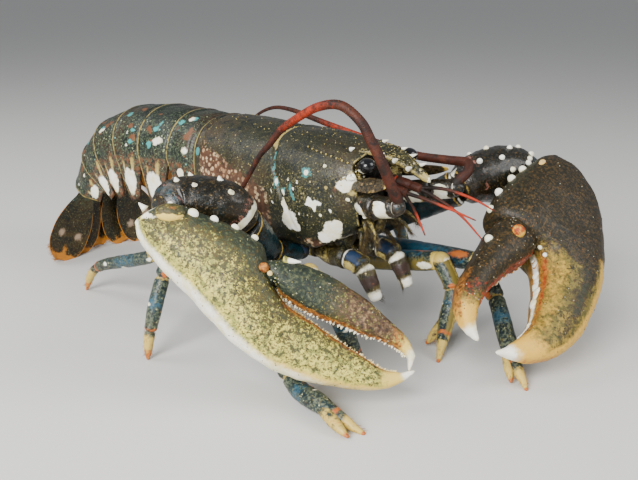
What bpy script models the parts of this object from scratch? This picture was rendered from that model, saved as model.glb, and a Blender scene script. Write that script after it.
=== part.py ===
# European lobster: a live adult standing on a level floor, claws held forward and down
# x runs forward from the rear edge of the carapace, y to the animal's left, z up from the floor, in metres
import math
import random

import bmesh
import bpy
from mathutils import Vector

# Driving dimensions
jointGap = 0.0003
socketGap = 0.0004
headFront = 0.118
shellSides = 28
limbSides = 10
clawSides = 16
antennaThick = 0.0028
antennaTip = 0.0004
whipShares = (1.0, 0.92, 0.72, 0.42)
footRadius = 0.0013
smoothAngle = math.radians(38.0)

# Carapace sections: place along the back, half width, top, height of widest part, underside, lean
backSections = (
    (0.0000, 0.0265, 0.1130, 0.087, 0.0560, 0.05),
    (0.0040, 0.0285, 0.1142, 0.086, 0.0545, 0.06),
    (0.0160, 0.0308, 0.1148, 0.084, 0.0540, 0.10),
    (0.0320, 0.0318, 0.1148, 0.083, 0.0540, 0.20),
    (0.0480, 0.0316, 0.1140, 0.083, 0.0540, 0.36),
    (0.0570, 0.0310, 0.1132, 0.083, 0.0540, 0.48),
    (0.0600, 0.0300, 0.1120, 0.083, 0.0540, 0.50),
)
headSections = (
    (0.0604, 0.0300, 0.1120, 0.083, 0.0540, 0.50),
    (0.0640, 0.0310, 0.1134, 0.084, 0.0540, 0.46),
    (0.0760, 0.0308, 0.1136, 0.085, 0.0545, 0.34),
    (0.0900, 0.0292, 0.1130, 0.086, 0.0570, 0.20),
    (0.1020, 0.0262, 0.1122, 0.088, 0.0600, 0.10),
    (0.1120, 0.0228, 0.1108, 0.089, 0.0650, 0.03),
    (headFront, 0.0202, 0.1095, 0.090, 0.0690, 0.00),
)
shellRound = 2.2
shellSquare = 2.7
underDepth = 0.012
# Spines at the front of the carapace for the left side: root, direction, length, radius at the root
carapaceSpines = (
    ((0.1145, 0.0205, 0.0955), (1.0, 0.25, 0.1), 0.0075, 0.0028),
    ((0.1080, 0.0150, 0.1075), (1.0, 0.2, 0.45), 0.0050, 0.0022),
    ((0.1000, 0.0245, 0.0990), (1.0, 0.6, 0.3), 0.0040, 0.0020),
    ((0.1130, 0.0215, 0.0850), (1.0, 0.5, -0.1), 0.0045, 0.0022),
)

# Rostrum: share of its length, half width, height and half thickness at each section, then its side spines
rostrumReach = 0.032
rostrumSections = (
    (0.0, 0.0105, 0.1066, 0.0032),
    (0.25, 0.0082, 0.1057, 0.0034),
    (0.55, 0.0056, 0.1018, 0.0031),
    (0.82, 0.0032, 0.0974, 0.0023),
)
rostrumTipHeight = 0.0940
rostrumPower = 1.7
rostrumSides = 12
rostrumSpines = ((0.22, 0.0078, 0.1062), (0.45, 0.0060, 0.1036), (0.68, 0.0042, 0.1000))
rostrumSpineSize = (0.0052, 0.0019)

# Eye on its short stalk, left side
eyeRadius = 0.0047
eyeRoot = (0.0112, 0.0975)
eyeCentre = (0.1245, 0.0182, 0.1022)
eyeStalkRadii = (0.0030, 0.0034)
eyeRingAngles = (-55, -28, 0, 28, 55, 76)

# Thorax floor between the legs
thoraxBack = 0.010
thoraxFront = 0.084
thoraxHalf = 0.0172
thoraxTop = 0.0537
thoraxLow = 0.0425

# Third maxilliped of the left side, from the thorax forward and down
maxillipedRoot = (0.0088, 0.0478)
maxillipedRoute = ((0.0960, 0.0110, 0.0465), (0.1080, 0.0136, 0.0485), (0.1185, 0.0142, 0.0462),
                   (0.1245, 0.0142, 0.0380), (0.1290, 0.0140, 0.0290))
maxillipedRadii = (0.0046, 0.0052, 0.0056, 0.0054, 0.0046, 0.0028)

# Rings of the tail: length along the crest, slope below level, half width, pleuron depth
tailRings = (
    (0.0200, -3.0, 0.0262, 0.041),
    (0.0285, -1.0, 0.0285, 0.057),
    (0.0295, 6.0, 0.0288, 0.057),
    (0.0295, 20.0, 0.0284, 0.055),
    (0.0285, 40.0, 0.0272, 0.052),
    (0.0295, 60.0, 0.0240, 0.041),
)
tailRootHeight = 0.1128
telsonSlope = 80.0
ringDepth = 0.030
sideDrop = 0.026
pleuronThick = 0.0026
crestPower = 2.3
flankPower = 2.2
pleuronInset = 0.0016
ringSwell = 0.0009
ringFrontShare = 0.97
# Swimmeret leaf: half width, thickness either side, length, sweep to the rear, place across
swimmeretSize = (0.0050, 0.0008, 0.019, 0.006, 0.0125)

# Tail fan: length, greatest half width, thickness at the root
leafRidge = 0.0009
telsonRidge = 0.0010
leafCurl = 0.004
leafHollow = 0.0016
leafWidest = 0.66
telsonSize = (0.0562, 0.0140, 0.0040)
innerLeafSize = (0.0516, 0.0160, 0.0030)
outerLeafSize = (0.0512, 0.0165, 0.0030)
# Side leaves: name, size, place across, turn outward, depth below the crest, clearance behind the last ring
sideLeaves = (
    ("inner", innerLeafSize, 0.0098, math.radians(13.0), 0.0105, 0.0030),
    ("outer", outerLeafSize, 0.0155, math.radians(27.0), 0.0160, 0.0050),
)

# Claws: wrist place, run to the tip, side of the movable finger; the outer face is square to both
cutterWrist = Vector((0.0676, -0.1120, 0.0871))
cutterRun = Vector((0.776, 0.410, -0.479)).normalized()
cutterSide = Vector((0.099, 0.671, 0.735))
crusherWrist = Vector((0.1625, 0.0950, 0.0878))
crusherRun = Vector((0.294, -0.819, -0.493)).normalized()
crusherSide = Vector((-0.683, -0.541, 0.491))
clawPower = 2.5

# Bars across each claw in mm from the wrist: outer edge, inner edge (each along, across), thickness
cutterPalm = (
    (-2.0, -9.0, 8.0, 9.0, 19.0),
    (5.0, -15.0, 16.0, 11.0, 26.0),
    (21.0, -20.5, 29.0, 13.0, 30.0),
    (38.0, -24.5, 41.0, 14.5, 31.5),
    (53.0, -28.8, 53.0, 14.0, 31.0),
    (65.0, -31.8, 60.0, 8.2, 29.0),
    (76.0, -33.0, 68.0, 0.4, 27.0),
    (86.0, -33.0, 77.0, -3.9, 24.0),
    (98.0, -31.0, 90.0, -4.8, 21.0),
    (112.0, -26.5, 105.0, -5.7, 17.5),
    (126.0, -20.5, 120.0, -6.2, 14.0),
    (137.0, -13.5, 132.0, -6.2, 10.0),
    (142.8, -6.0, 139.5, -3.2, 5.5),
)
cutterPalmTip = (144.8, 1.0)
cutterFinger = (
    (67.2, -0.9, 58.3, 7.1, 21.0),
    (69.2, 1.3, 60.3, 9.3, 24.0),
    (73.5, -0.6, 65.5, 12.6, 25.0),
    (81.0, -0.4, 73.5, 15.8, 23.5),
    (91.0, 0.5, 85.0, 18.0, 21.0),
    (102.0, 2.0, 98.0, 18.2, 18.0),
    (114.0, 3.6, 112.0, 17.0, 15.0),
    (125.0, 4.9, 124.5, 14.6, 12.0),
    (134.0, 5.1, 134.6, 12.2, 9.5),
    (138.8, 3.8, 141.5, 7.0, 6.5),
)
cutterFingerTip = (142.5, -0.6)
crusherPalm = (
    (-8.0, -8.0, 4.0, 7.0, 22.0),
    (-5.0, -19.5, 14.0, 12.0, 30.0),
    (6.0, -32.0, 27.0, 17.5, 36.0),
    (22.0, -40.5, 41.0, 22.0, 38.0),
    (42.0, -45.2, 56.0, 22.8, 37.0),
    (51.0, -46.2, 61.0, 14.0, 36.0),
    (59.0, -46.5, 63.6, 3.0, 34.5),
    (68.0, -46.5, 67.0, -7.0, 33.0),
    (82.0, -45.2, 80.0, -12.0, 29.0),
    (97.0, -42.0, 93.0, -13.0, 25.0),
    (110.0, -37.0, 106.0, -13.5, 20.5),
    (121.0, -29.2, 115.0, -11.5, 16.0),
    (129.5, -18.5, 123.0, -7.5, 11.0),
    (133.6, -8.0, 129.5, -3.4, 6.0),
)
crusherPalmTip = (135.0, 1.0)
crusherFinger = (
    (63.6, -6.0, 56.9, 17.6, 25.0),
    (68.6, -4.6, 61.9, 19.0, 29.0),
    (72.5, -3.6, 68.0, 21.2, 30.0),
    (79.5, 0.0, 79.5, 23.2, 28.5),
    (88.0, 5.5, 90.0, 25.2, 26.0),
    (98.0, 10.6, 101.0, 27.4, 22.5),
    (108.0, 14.2, 112.0, 28.6, 18.5),
    (117.0, 15.8, 121.0, 27.2, 14.0),
    (124.0, 15.6, 128.5, 22.6, 9.5),
    (129.0, 13.6, 132.6, 16.6, 5.5),
)
crusherFingerTip = (134.0, 11.0)
# Tubercles on the upper edge of each palm and the spine on the cutter's finger, in the same mm
cutterTubercles = ((9.0, 9.5), (17.0, 11.4), (27.0, 12.9), (38.0, 14.2), (48.5, 14.2))
cutterFingerSpine = (70.5, 14.2)
crusherTubercles = ((9.0, 9.6), (20.0, 14.8), (34.0, 19.6), (47.0, 22.2), (56.5, 22.0))
# Tooth rows: count, first and last place along the edge, size
cutterPalmTeeth = (14, 0.66, 0.95, 0.0021)
cutterFingerTeeth = (13, 0.33, 0.93, 0.0020)
crusherPalmTeeth = (6, 0.58, 0.86, 0.0038)
crusherFingerTeeth = (6, 0.30, 0.82, 0.0030)

# Arm joints from the thorax out: place and half size of the limb there
rightArm = (
    ((0.0770, -0.0176, 0.0478), 0.0052),
    ((0.0750, -0.0375, 0.0520), 0.0068),
    ((0.0825, -0.0660, 0.0745), 0.0095),
)
leftArm = (
    ((0.0770, 0.0176, 0.0478), 0.0052),
    ((0.0920, 0.0385, 0.0540), 0.0070),
    ((0.1330, 0.0560, 0.0790), 0.0100),
)
rightCarpus = (
    ((0.0825, -0.0660, 0.0745), 0.0095),
    ((0.0795, -0.0735, 0.0840), 0.0120),
    ((0.0713, -0.0820, 0.0868), 0.0132),
    ((0.0643, -0.0920, 0.0870), 0.0125),
    ((0.0625, -0.1010, 0.0866), 0.0080),
)
leftCarpus = (
    ((0.1330, 0.0560, 0.0790), 0.0100),
    ((0.1380, 0.0680, 0.0830), 0.0145),
    ((0.1430, 0.0810, 0.0840), 0.0160),
    ((0.1500, 0.0920, 0.0845), 0.0140),
    ((0.1570, 0.1000, 0.0845), 0.0080),
)

# Spines on the carpus: place along its route, turn round it in degrees
carpusSpines = ((3, 60), (5, 95), (6, 50), (8, 80), (9, 45))
carpusSpineSize = (0.0048, 0.0022)

# Walking legs: root along the thorax, two places going up, knee, wrist, ankle, foot, tip of the thumb
legRootHeight = 0.0480
thumbRadii = (0.0034, 0.0032, 0.0024, 0.0008)
legRadii = (0.0044, 0.0052, 0.0058, 0.0060, 0.0055)
pincerRadii = (0.0055, 0.0048, 0.0052, 0.0050, 0.0030, footRadius)
hookRadii = (0.0055, 0.0048, 0.0042, 0.0036, 0.0028, footRadius)
rightLegs = (
    (0.062, (0.0660, -0.0310, 0.0400), (0.0850, -0.0430, 0.0365), (0.1120, -0.0490, 0.0500),
     (0.1260, -0.0460, 0.0330), (0.1310, -0.0390, 0.0140), (0.1340, -0.0310, 0.0), (0.1240, -0.0280, 0.0015)),
    (0.048, (0.0520, -0.0340, 0.0450), (0.0720, -0.0520, 0.0410), (0.0980, -0.0670, 0.0400),
     (0.1290, -0.0820, 0.0102), (0.1560, -0.0895, 0.0072), (0.1788, -0.0876, 0.0), (0.1760, -0.0960, 0.0015)),
    (0.034, (0.0350, -0.0330, 0.0485), (0.0390, -0.0520, 0.0560), (0.0420, -0.0720, 0.0620),
     (0.0440, -0.0880, 0.0420), (0.0440, -0.0980, 0.0160), (0.0440, -0.1010, 0.0), None),
    (0.020, (0.0200, -0.0330, 0.0480), (0.0190, -0.0490, 0.0550), (0.0180, -0.0660, 0.0600),
     (0.0040, -0.0620, 0.0400), (-0.0550, -0.0600, 0.0190), (-0.0700, -0.0600, 0.0), None),
)
leftLegs = (
    (0.062, (0.0660, 0.0310, 0.0440), (0.0850, 0.0440, 0.0385), (0.1555, 0.0450, 0.0418),
     (0.1736, 0.0325, 0.0280), (0.1950, 0.0110, 0.0125), (0.2127, -0.0027, 0.0), (0.2035, -0.0020, 0.0015)),
    (0.048, (0.0500, 0.0260, 0.0400), (0.0680, 0.0310, 0.0300), (0.1412, 0.0275, 0.0436),
     (0.1512, 0.0250, 0.0298), (0.1540, 0.0150, 0.0140), (0.1620, -0.0040, 0.0), (0.1455, 0.0095, 0.0015)),
    (0.034, (0.0360, 0.0330, 0.0485), (0.0440, 0.0530, 0.0560), (0.0520, 0.0740, 0.0620),
     (0.0600, 0.0920, 0.0420), (0.0640, 0.1060, 0.0160), (0.0660, 0.1120, 0.0), None),
    (0.020, (0.0190, 0.0330, 0.0480), (0.0140, 0.0520, 0.0560), (0.0080, 0.0720, 0.0620),
     (-0.0120, 0.0820, 0.0440), (-0.0480, 0.0900, 0.0180), (-0.0640, 0.0920, 0.0), None),
)

# Antenna stalk, scale and antennule of the left side, each from its root on the carapace forward
stalkRoot = (0.0145, 0.0815)
stalkRoute = ((0.1290, 0.0215, 0.0825), (0.1400, 0.0250, 0.0845),
              (0.1500, 0.0265, 0.0865), (0.1535, 0.0270, 0.0872))
stalkRadii = (0.0050, 0.0060, 0.0055, 0.0050, 0.0024)
scaleRoot = (0.0205, 0.0915)
scaleTip = (0.1440, 0.0275, 0.0960)
scaleWidth = 0.0042
antennuleRoot = (0.0052, 0.0900)
antennuleRoute = ((0.128, 0.0058, 0.0900), (0.141, 0.0065, 0.0880))
antennuleRadii = (0.0033, 0.0030, 0.0024)
antennuleFork = (0.1385, 0.0064, 0.0884)
feelerRadii = (0.0013, 0.0010, 0.0007, 0.0003)
rightFeelers = (
    ((0.1475, -0.0085, 0.0800), (0.1560, -0.0115, 0.0700)),
    ((0.1500, -0.0045, 0.0865), (0.1640, -0.0020, 0.0830), (0.1770, 0.0010, 0.0790)),
)
leftFeelers = (
    ((0.1490, 0.0080, 0.0845), (0.1630, 0.0100, 0.0770), (0.1760, 0.0110, 0.0660)),
    ((0.1510, 0.0110, 0.0890), (0.1650, 0.0170, 0.0850), (0.1760, 0.0220, 0.0790)),
)

# Antenna whips, from the end of the stalk to the tip
rightWhip = (
    (0.1496, -0.0265, 0.0896), (0.1488, -0.0315, 0.0980), (0.1467, -0.0370, 0.1106),
    (0.1432, -0.0405, 0.1201), (0.1390, -0.0432, 0.1290), (0.1290, -0.0455, 0.1358),
    (0.1158, -0.0465, 0.1340), (0.1020, -0.0470, 0.1269), (0.0923, -0.0475, 0.1205),
    (0.0850, -0.0480, 0.1126), (0.0775, -0.0485, 0.1050), (0.0668, -0.0495, 0.0889),
    (0.0560, -0.0500, 0.0760), (0.0420, -0.0495, 0.0680), (0.0240, -0.0480, 0.0640),
    (0.0040, -0.0460, 0.0600),
)
leftWhip = (
    (0.1496, 0.0265, 0.0896), (0.1515, 0.0335, 0.0945), (0.1470, 0.0400, 0.0975),
    (0.1330, 0.0435, 0.0965), (0.1120, 0.0445, 0.0960), (0.0900, 0.0448, 0.0985),
    (0.0690, 0.0450, 0.1022), (0.0485, 0.0455, 0.1058), (0.0290, 0.0470, 0.1090),
    (0.0100, 0.0500, 0.1115), (-0.0107, 0.0550, 0.1105), (-0.0320, 0.0610, 0.1030),
    (-0.0520, 0.0670, 0.0900), (-0.0700, 0.0720, 0.0720), (-0.0860, 0.0760, 0.0520),
)


def clearScene():
    for item in list(bpy.data.objects):
        bpy.data.objects.remove(item, do_unlink=True)


def material(name, colour, roughness, metallic=0.0):
    made = bpy.data.materials.get(name)
    if made is None:
        made = bpy.data.materials.new(name)
        made.use_nodes = True
        shader = made.node_tree.nodes["Principled BSDF"]
        shader.inputs["Base Color"].default_value = (*colour, 1.0)
        shader.inputs["Roughness"].default_value = roughness
        shader.inputs["Metallic"].default_value = metallic
    return made


def shellMaterial():
    return material("dark_shell", (0.045, 0.042, 0.035), 0.30)


def pleuronMaterial():
    return material("tail_shell", (0.060, 0.062, 0.052), 0.30)


def cutterMaterial():
    return material("cutter_shell", (0.230, 0.200, 0.100), 0.32)


def crusherMaterial():
    return material("crusher_shell", (0.180, 0.130, 0.085), 0.32)


def legMaterial():
    return material("leg_shell", (0.040, 0.075, 0.120), 0.28)


def antennaMaterial():
    return material("antenna_shell", (0.300, 0.075, 0.030), 0.35)


def fanMaterial():
    return material("fan_shell", (0.090, 0.060, 0.030), 0.38)


def mouthMaterial():
    return material("mouth_shell", (0.140, 0.100, 0.055), 0.40)


def eyeMaterial():
    return material("eye_black", (0.004, 0.004, 0.005), 0.06)


def addObject(name, form, finish):
    bmesh.ops.recalc_face_normals(form, faces=form.faces)
    mesh = bpy.data.meshes.new(name)
    form.to_mesh(mesh)
    form.free()
    mesh.materials.append(finish)
    mesh.shade_smooth()
    mesh.set_sharp_from_angle(angle=smoothAngle)
    made = bpy.data.objects.new(name, mesh)
    bpy.context.scene.collection.objects.link(made)
    return made


# Place given for the left side, set on either side of the animal
def onSide(place, side):
    return Vector((place[0], side * place[1], place[2]))


# Power curve used by every rounded section
def bulge(value, power):
    return math.copysign(abs(value) ** (2.0 / power), value)


# Closed body through rings of equal count, with flat ends or a pointed tip
def loft(rings, tip=None):
    form = bmesh.new()
    loops = [[form.verts.new(point) for point in ring] for ring in rings]
    count = len(rings[0])
    for first, second in zip(loops, loops[1:]):
        for index in range(count):
            after = (index + 1) % count
            form.faces.new((first[index], first[after], second[after], second[index]))
    form.faces.new(loops[0])
    if tip is None:
        form.faces.new(loops[-1])
    else:
        point = form.verts.new(tip)
        for index in range(count):
            form.faces.new((loops[-1][index], loops[-1][(index + 1) % count], point))
    bmesh.ops.triangulate(form, faces=form.faces)
    return form


# Closed body between two grids of equal size, one for each face of a plate
def plate(upper, lower):
    form = bmesh.new()
    top = [[form.verts.new(point) for point in row] for row in upper]
    under = [[form.verts.new(point) for point in row] for row in lower]
    rows = len(top)
    columns = len(top[0])
    for row in range(rows - 1):
        for column in range(columns - 1):
            for grid in (top, under):
                a, b = grid[row][column], grid[row][column + 1]
                c, d = grid[row + 1][column + 1], grid[row + 1][column]
                form.faces.new((a, b, c))
                form.faces.new((a, c, d))
    border = [(0, column) for column in range(columns)]
    border += [(row, columns - 1) for row in range(1, rows)]
    border += [(rows - 1, column) for column in range(columns - 2, -1, -1)]
    border += [(row, 0) for row in range(rows - 2, 0, -1)]
    for (row, column), (nextRow, nextColumn) in zip(border, border[1:] + border[:1]):
        a, b = top[row][column], top[nextRow][nextColumn]
        c, d = under[nextRow][nextColumn], under[row][column]
        form.faces.new((a, b, c))
        form.faces.new((a, c, d))
    return form


# Smooth route through hand-set places
def smoothRoute(places, steps):
    points = [Vector(place) for place in places]
    ends = [2 * points[0] - points[1]] + points + [2 * points[-1] - points[-2]]
    route = []
    for index in range(1, len(ends) - 2):
        p0, p1, p2, p3 = ends[index - 1:index + 3]
        for step in range(steps):
            t = step / steps
            route.append(0.5 * (2 * p1 + (p2 - p0) * t + (2 * p0 - 5 * p1 + 4 * p2 - p3) * t * t
                                + (3 * p1 - p0 - 3 * p2 + p3) * t * t * t))
    route.append(points[-1])
    return route


def tangents(route):
    last = len(route) - 1
    steps = [route[min(index + 1, last)] - route[max(index - 1, 0)] for index in range(last + 1)]
    return [step.normalized() for step in steps]


# Ring round a route; flat is the ratio of its height to its width
def ringRound(centre, along, upward, radius, flat, sides):
    side = along.cross(upward).normalized()
    top = side.cross(along).normalized()
    ring = []
    for index in range(sides):
        angle = 2 * math.pi * index / sides
        ring.append(centre + side * math.cos(angle) * radius + top * math.sin(angle) * radius * flat)
    return ring


# Limb or whip along a route, with the ends square to given directions
def tube(route, radii, sides=limbSides, flat=1.0, start=None, end=None, upward=Vector((0, 0, 1)), tip=None):
    runs = tangents(route)
    if start is not None:
        runs[0] = start
    if end is not None:
        runs[-1] = end
    rings = []
    for centre, along, radius in zip(route, runs, radii):
        guide = upward if abs(along.dot(upward)) < 0.96 else Vector((1, 0, 0))
        rings.append(ringRound(centre, along, guide, radius, flat, sides))
    return loft(rings, tip)


def spread(values, count):
    result = []
    for index in range(count):
        place = index * (len(values) - 1) / (count - 1)
        low = min(int(place), len(values) - 2)
        result.append(values[low] + (values[low + 1] - values[low]) * (place - low))
    return result


# Pointed spine or tooth, root sunk into its surface
def spine(root, direction, length, radius, sides=5):
    along = Vector(direction).normalized()
    base = Vector(root) - along * length * 0.45
    guide = Vector((0, 0, 1)) if abs(along.z) < 0.9 else Vector((1, 0, 0))
    rings = [ringRound(base, along, guide, radius, 1.0, sides)]
    return loft(rings, Vector(root) + along * length)


# Rounded tubercle or molar
def knob(centre, radius, along=None, stretch=1.0, segments=6):
    form = bmesh.new()
    bmesh.ops.create_uvsphere(form, u_segments=segments, v_segments=4, radius=radius)
    direction = Vector((0, 0, 1)) if along is None else Vector(along).normalized()
    turn = Vector((0, 0, 1)).rotation_difference(direction).to_matrix()
    for vert in form.verts:
        vert.co.z *= stretch
        vert.co = turn @ vert.co + Vector(centre)
    return form


def keepLargest(mesh):
    form = bmesh.new()
    form.from_mesh(mesh)
    left = set(form.faces)
    groups = []
    while left:
        seed = left.pop()
        group = {seed}
        front = [seed]
        while front:
            face = front.pop()
            for edge in face.edges:
                for other in edge.link_faces:
                    if other in left:
                        left.discard(other)
                        group.add(other)
                        front.append(other)
        groups.append(group)
    groups.sort(key=len, reverse=True)
    for group in groups[1:]:
        bmesh.ops.delete(form, geom=list(group), context="FACES")
    form.to_mesh(mesh)
    form.free()


def applyBoolean(body, modifier):
    graph = bpy.context.evaluated_depsgraph_get()
    fused = bpy.data.meshes.new_from_object(body.evaluated_get(graph), depsgraph=graph)
    body.modifiers.remove(modifier)
    body.data = fused
    keepLargest(body.data)
    body.data.shade_smooth()
    body.data.set_sharp_from_angle(angle=smoothAngle)


# One union of a body with all its small pieces
def fuse(body, forms, finish):
    group = bpy.data.collections.new("pieces")
    bpy.context.scene.collection.children.link(group)
    pieces = []
    for form in forms:
        piece = addObject("piece", form, finish)
        bpy.context.scene.collection.objects.unlink(piece)
        group.objects.link(piece)
        pieces.append(piece)
    union = body.modifiers.new("union", "BOOLEAN")
    union.operation = "UNION"
    union.operand_type = "COLLECTION"
    union.collection = group
    union.solver = "EXACT"
    applyBoolean(body, union)
    for piece in pieces:
        bpy.data.objects.remove(piece, do_unlink=True)
    bpy.data.collections.remove(group)


# Hollows a body where its neighbour sits, leaving the joint gap all round
def cutClear(body, neighbour, gap=jointGap):
    swollen = neighbour.data.copy()
    for vert in swollen.vertices:
        vert.co = vert.co + vert.normal * gap
    cutter = bpy.data.objects.new("cutter", swollen)
    bpy.context.scene.collection.objects.link(cutter)
    cutter.hide_render = True
    cutter.display_type = "WIRE"
    cut = body.modifiers.new("cut", "BOOLEAN")
    cut.operation = "DIFFERENCE"
    cut.object = cutter
    cut.solver = "EXACT"
    applyBoolean(body, cut)
    bpy.data.objects.remove(cutter, do_unlink=True)


def shellRing(section):
    place, half, top, widest, under, lean = section
    ring = []
    for index in range(shellSides):
        angle = 2 * math.pi * (index + 0.5) / shellSides
        across = half * bulge(math.cos(angle), shellRound)
        if math.sin(angle) > 0:
            height = widest + (top - widest) * bulge(math.sin(angle), shellRound)
        else:
            height = widest + (widest - under + underDepth) * bulge(math.sin(angle), shellSquare)
        height = max(height, under)
        ring.append(Vector((place + lean * (top - height), across, height)))
    return ring


def carapace():
    addObject("carapace_back", loft([shellRing(section) for section in backSections]), shellMaterial())
    head = addObject("carapace_head", loft([shellRing(section) for section in headSections]), shellMaterial())
    spines = []
    for side in (-1, 1):
        for root, direction, length, radius in carapaceSpines:
            spines.append(spine(onSide(root, side), onSide(direction, side), length, radius))
    fuse(head, spines, shellMaterial())


def rostrum():
    start = headFront + jointGap
    rings = []
    for part, half, height, thick in rostrumSections:
        ring = []
        for index in range(rostrumSides):
            angle = 2 * math.pi * index / rostrumSides
            rise = thick * bulge(math.sin(angle), rostrumPower)
            ring.append(Vector((start + rostrumReach * part, half * math.cos(angle), height + rise)))
        rings.append(ring)
    tip = Vector((start + rostrumReach, 0.0, rostrumTipHeight))
    body = addObject("rostrum", loft(rings, tip), shellMaterial())
    spines = []
    for side in (-1, 1):
        for part, half, height in rostrumSpines:
            root = Vector((start + rostrumReach * part, side * half, height))
            spines.append(spine(root, (1.0, side * 0.75, 0.35), *rostrumSpineSize))
    fuse(body, spines, shellMaterial())


def thorax():
    form = bmesh.new()
    bmesh.ops.create_cube(form, size=1.0)
    size = Vector((thoraxFront - thoraxBack, 2 * thoraxHalf, thoraxTop - thoraxLow))
    centre = Vector(((thoraxFront + thoraxBack) / 2, 0.0, (thoraxTop + thoraxLow) / 2))
    for vert in form.verts:
        vert.co = Vector((vert.co.x * size.x, vert.co.y * size.y, vert.co.z * size.z)) + centre
    addObject("thorax_underside", form, mouthMaterial())


def mouthparts():
    for side, name in ((-1, "right"), (1, "left")):
        places = ((thoraxFront + jointGap, *maxillipedRoot),) + maxillipedRoute
        route = smoothRoute([onSide(place, side) for place in places], 2)
        radii = spread(maxillipedRadii, len(route))
        form = tube(route, radii, sides=limbSides, start=Vector((1, 0, 0)))
        addObject("maxilliped_" + name, form, mouthMaterial())


def eyes():
    for side, name in ((-1, "right"), (1, "left")):
        root = onSide((headFront + jointGap, *eyeRoot), side)
        centre = onSide(eyeCentre, side)
        along = (centre - root).normalized()
        route = [root, root + (centre - root) * 0.45]
        radii = list(eyeStalkRadii)
        for angle in eyeRingAngles:
            turn = math.radians(angle)
            route.append(centre + along * eyeRadius * math.sin(turn))
            radii.append(eyeRadius * math.cos(turn))
        runs = [Vector((1, 0, 0))] + [along] * (len(route) - 1)
        rings = []
        for place, run, radius in zip(route, runs, radii):
            rings.append(ringRound(place, run, Vector((0, 0, 1)), radius, 1.0, 12))
        addObject("eye_" + name, loft(rings), eyeMaterial())


def antennaBases():
    for side, name in ((-1, "right"), (1, "left")):
        places = ((headFront + jointGap, *stalkRoot),) + stalkRoute
        route = smoothRoute([onSide(place, side) for place in places], 2)
        form = tube(route, spread(stalkRadii, len(route)), sides=12, start=Vector((1, 0, 0)))
        addObject("antenna_base_" + name, form, shellMaterial())


def whipStart(side):
    places = rightWhip if side < 0 else leftWhip
    return (Vector(places[1]) - Vector(places[0])).normalized()


def antennaScales():
    for side, name in ((-1, "right"), (1, "left")):
        start = onSide((headFront + jointGap, *scaleRoot), side)
        end = onSide(scaleTip, side)
        upper = []
        lower = []
        for row in range(6):
            part = row / 5
            half = scaleWidth * (1.0 - part ** 2.4) * (0.55 + 1.3 * part) + 0.0004
            centre = start.lerp(end, part)
            thick = 0.0009 - 0.0005 * part
            upper.append([centre + Vector((0, half * step / 2, thick * (1.6 - abs(step) * 0.5)))
                          for step in range(-2, 3)])
            lower.append([centre + Vector((0, half * step / 2, -thick)) for step in range(-2, 3)])
        addObject("antenna_scale_" + name, plate(upper, lower), shellMaterial())


def whips():
    for places, name in ((rightWhip, "right"), (leftWhip, "left")):
        route = smoothRoute(places, 2)
        runs = tangents(route)
        runs[0] = whipStart(-1 if name == "right" else 1)
        radii = spread([antennaThick * share for share in whipShares] + [antennaTip], len(route))
        last = len(route) - 1
        cuts = (0, last // 3, 2 * last // 3, last)
        for number in range(3):
            low, high = cuts[number], cuts[number + 1]
            piece = [point.copy() for point in route[low:high + 1]]
            if number:
                piece[0] += runs[low] * jointGap
            form = tube(piece, radii[low:high + 1], sides=8, start=runs[low], end=runs[high])
            part = addObject("antenna_%s_%d" % (name, number + 1), form, antennaMaterial())
            if number == 0:
                cutClear(bpy.data.objects["antenna_base_" + name], part, socketGap)


def antennules():
    for side, name in ((-1, "right"), (1, "left")):
        places = ((headFront + jointGap, *antennuleRoot),) + antennuleRoute
        route = smoothRoute([onSide(place, side) for place in places], 3)
        form = tube(route, spread(antennuleRadii, len(route)), sides=8, start=Vector((1, 0, 0)))
        body = addObject("antennule_" + name, form, antennaMaterial())
        feelers = []
        for ends in rightFeelers if side < 0 else leftFeelers:
            line = smoothRoute((onSide(antennuleFork, side),) + ends, 3)
            feelers.append(tube(line, spread(feelerRadii, len(line)), sides=6))
        fuse(body, feelers, antennaMaterial())


# Places and slopes of the planes where the rings of the tail meet
def tailPlanes():
    crest = Vector((0.0, 0.0, tailRootHeight))
    slopes = [slope for _, slope, _, _ in tailRings] + [telsonSlope]
    planes = [(crest.copy(), 0.0)]
    for index, (length, slope, _, _) in enumerate(tailRings):
        turn = math.radians(slope)
        crest = crest + Vector((-math.cos(turn), 0.0, -math.sin(turn))) * length
        planes.append((crest.copy(), (slope + slopes[index + 1]) / 2))
    return planes


def planeAxes(slope):
    turn = math.radians(slope)
    along = Vector((-math.cos(turn), 0.0, -math.sin(turn)))
    down = Vector((math.sin(turn), 0.0, -math.cos(turn)))
    return along, down


# Outline of a ring of the tail from one pleuron tip over the crest to the other: across, depth, pleuron share
def ringOutline(half, depth):
    side = []
    for step in range(6):
        angle = math.radians(90 - 18 * step)
        drop = sideDrop * (1 - bulge(math.sin(angle), flankPower))
        side.append((half * bulge(math.cos(angle), crestPower), drop, 0.0))
    for share in (0.35, 0.7, 1.0):
        side.append((half - pleuronInset * share * share, sideDrop + (depth - sideDrop) * share, share))
    return [(-across, down, share) for across, down, share in reversed(side[1:])] + side


def ringRow(plane, half, depth, inner):
    crest, slope = plane
    _, down = planeAxes(slope)
    row = []
    for across, drop, share in ringOutline(half, depth):
        if inner:
            across = math.copysign(max(abs(across) - pleuronThick * (1 - 0.55 * share), 0.0), across)
            if share == 0.0:
                drop = ringDepth
        row.append((crest + Vector((0.0, across, 0.0)) + down * drop, share))
    return row


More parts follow.
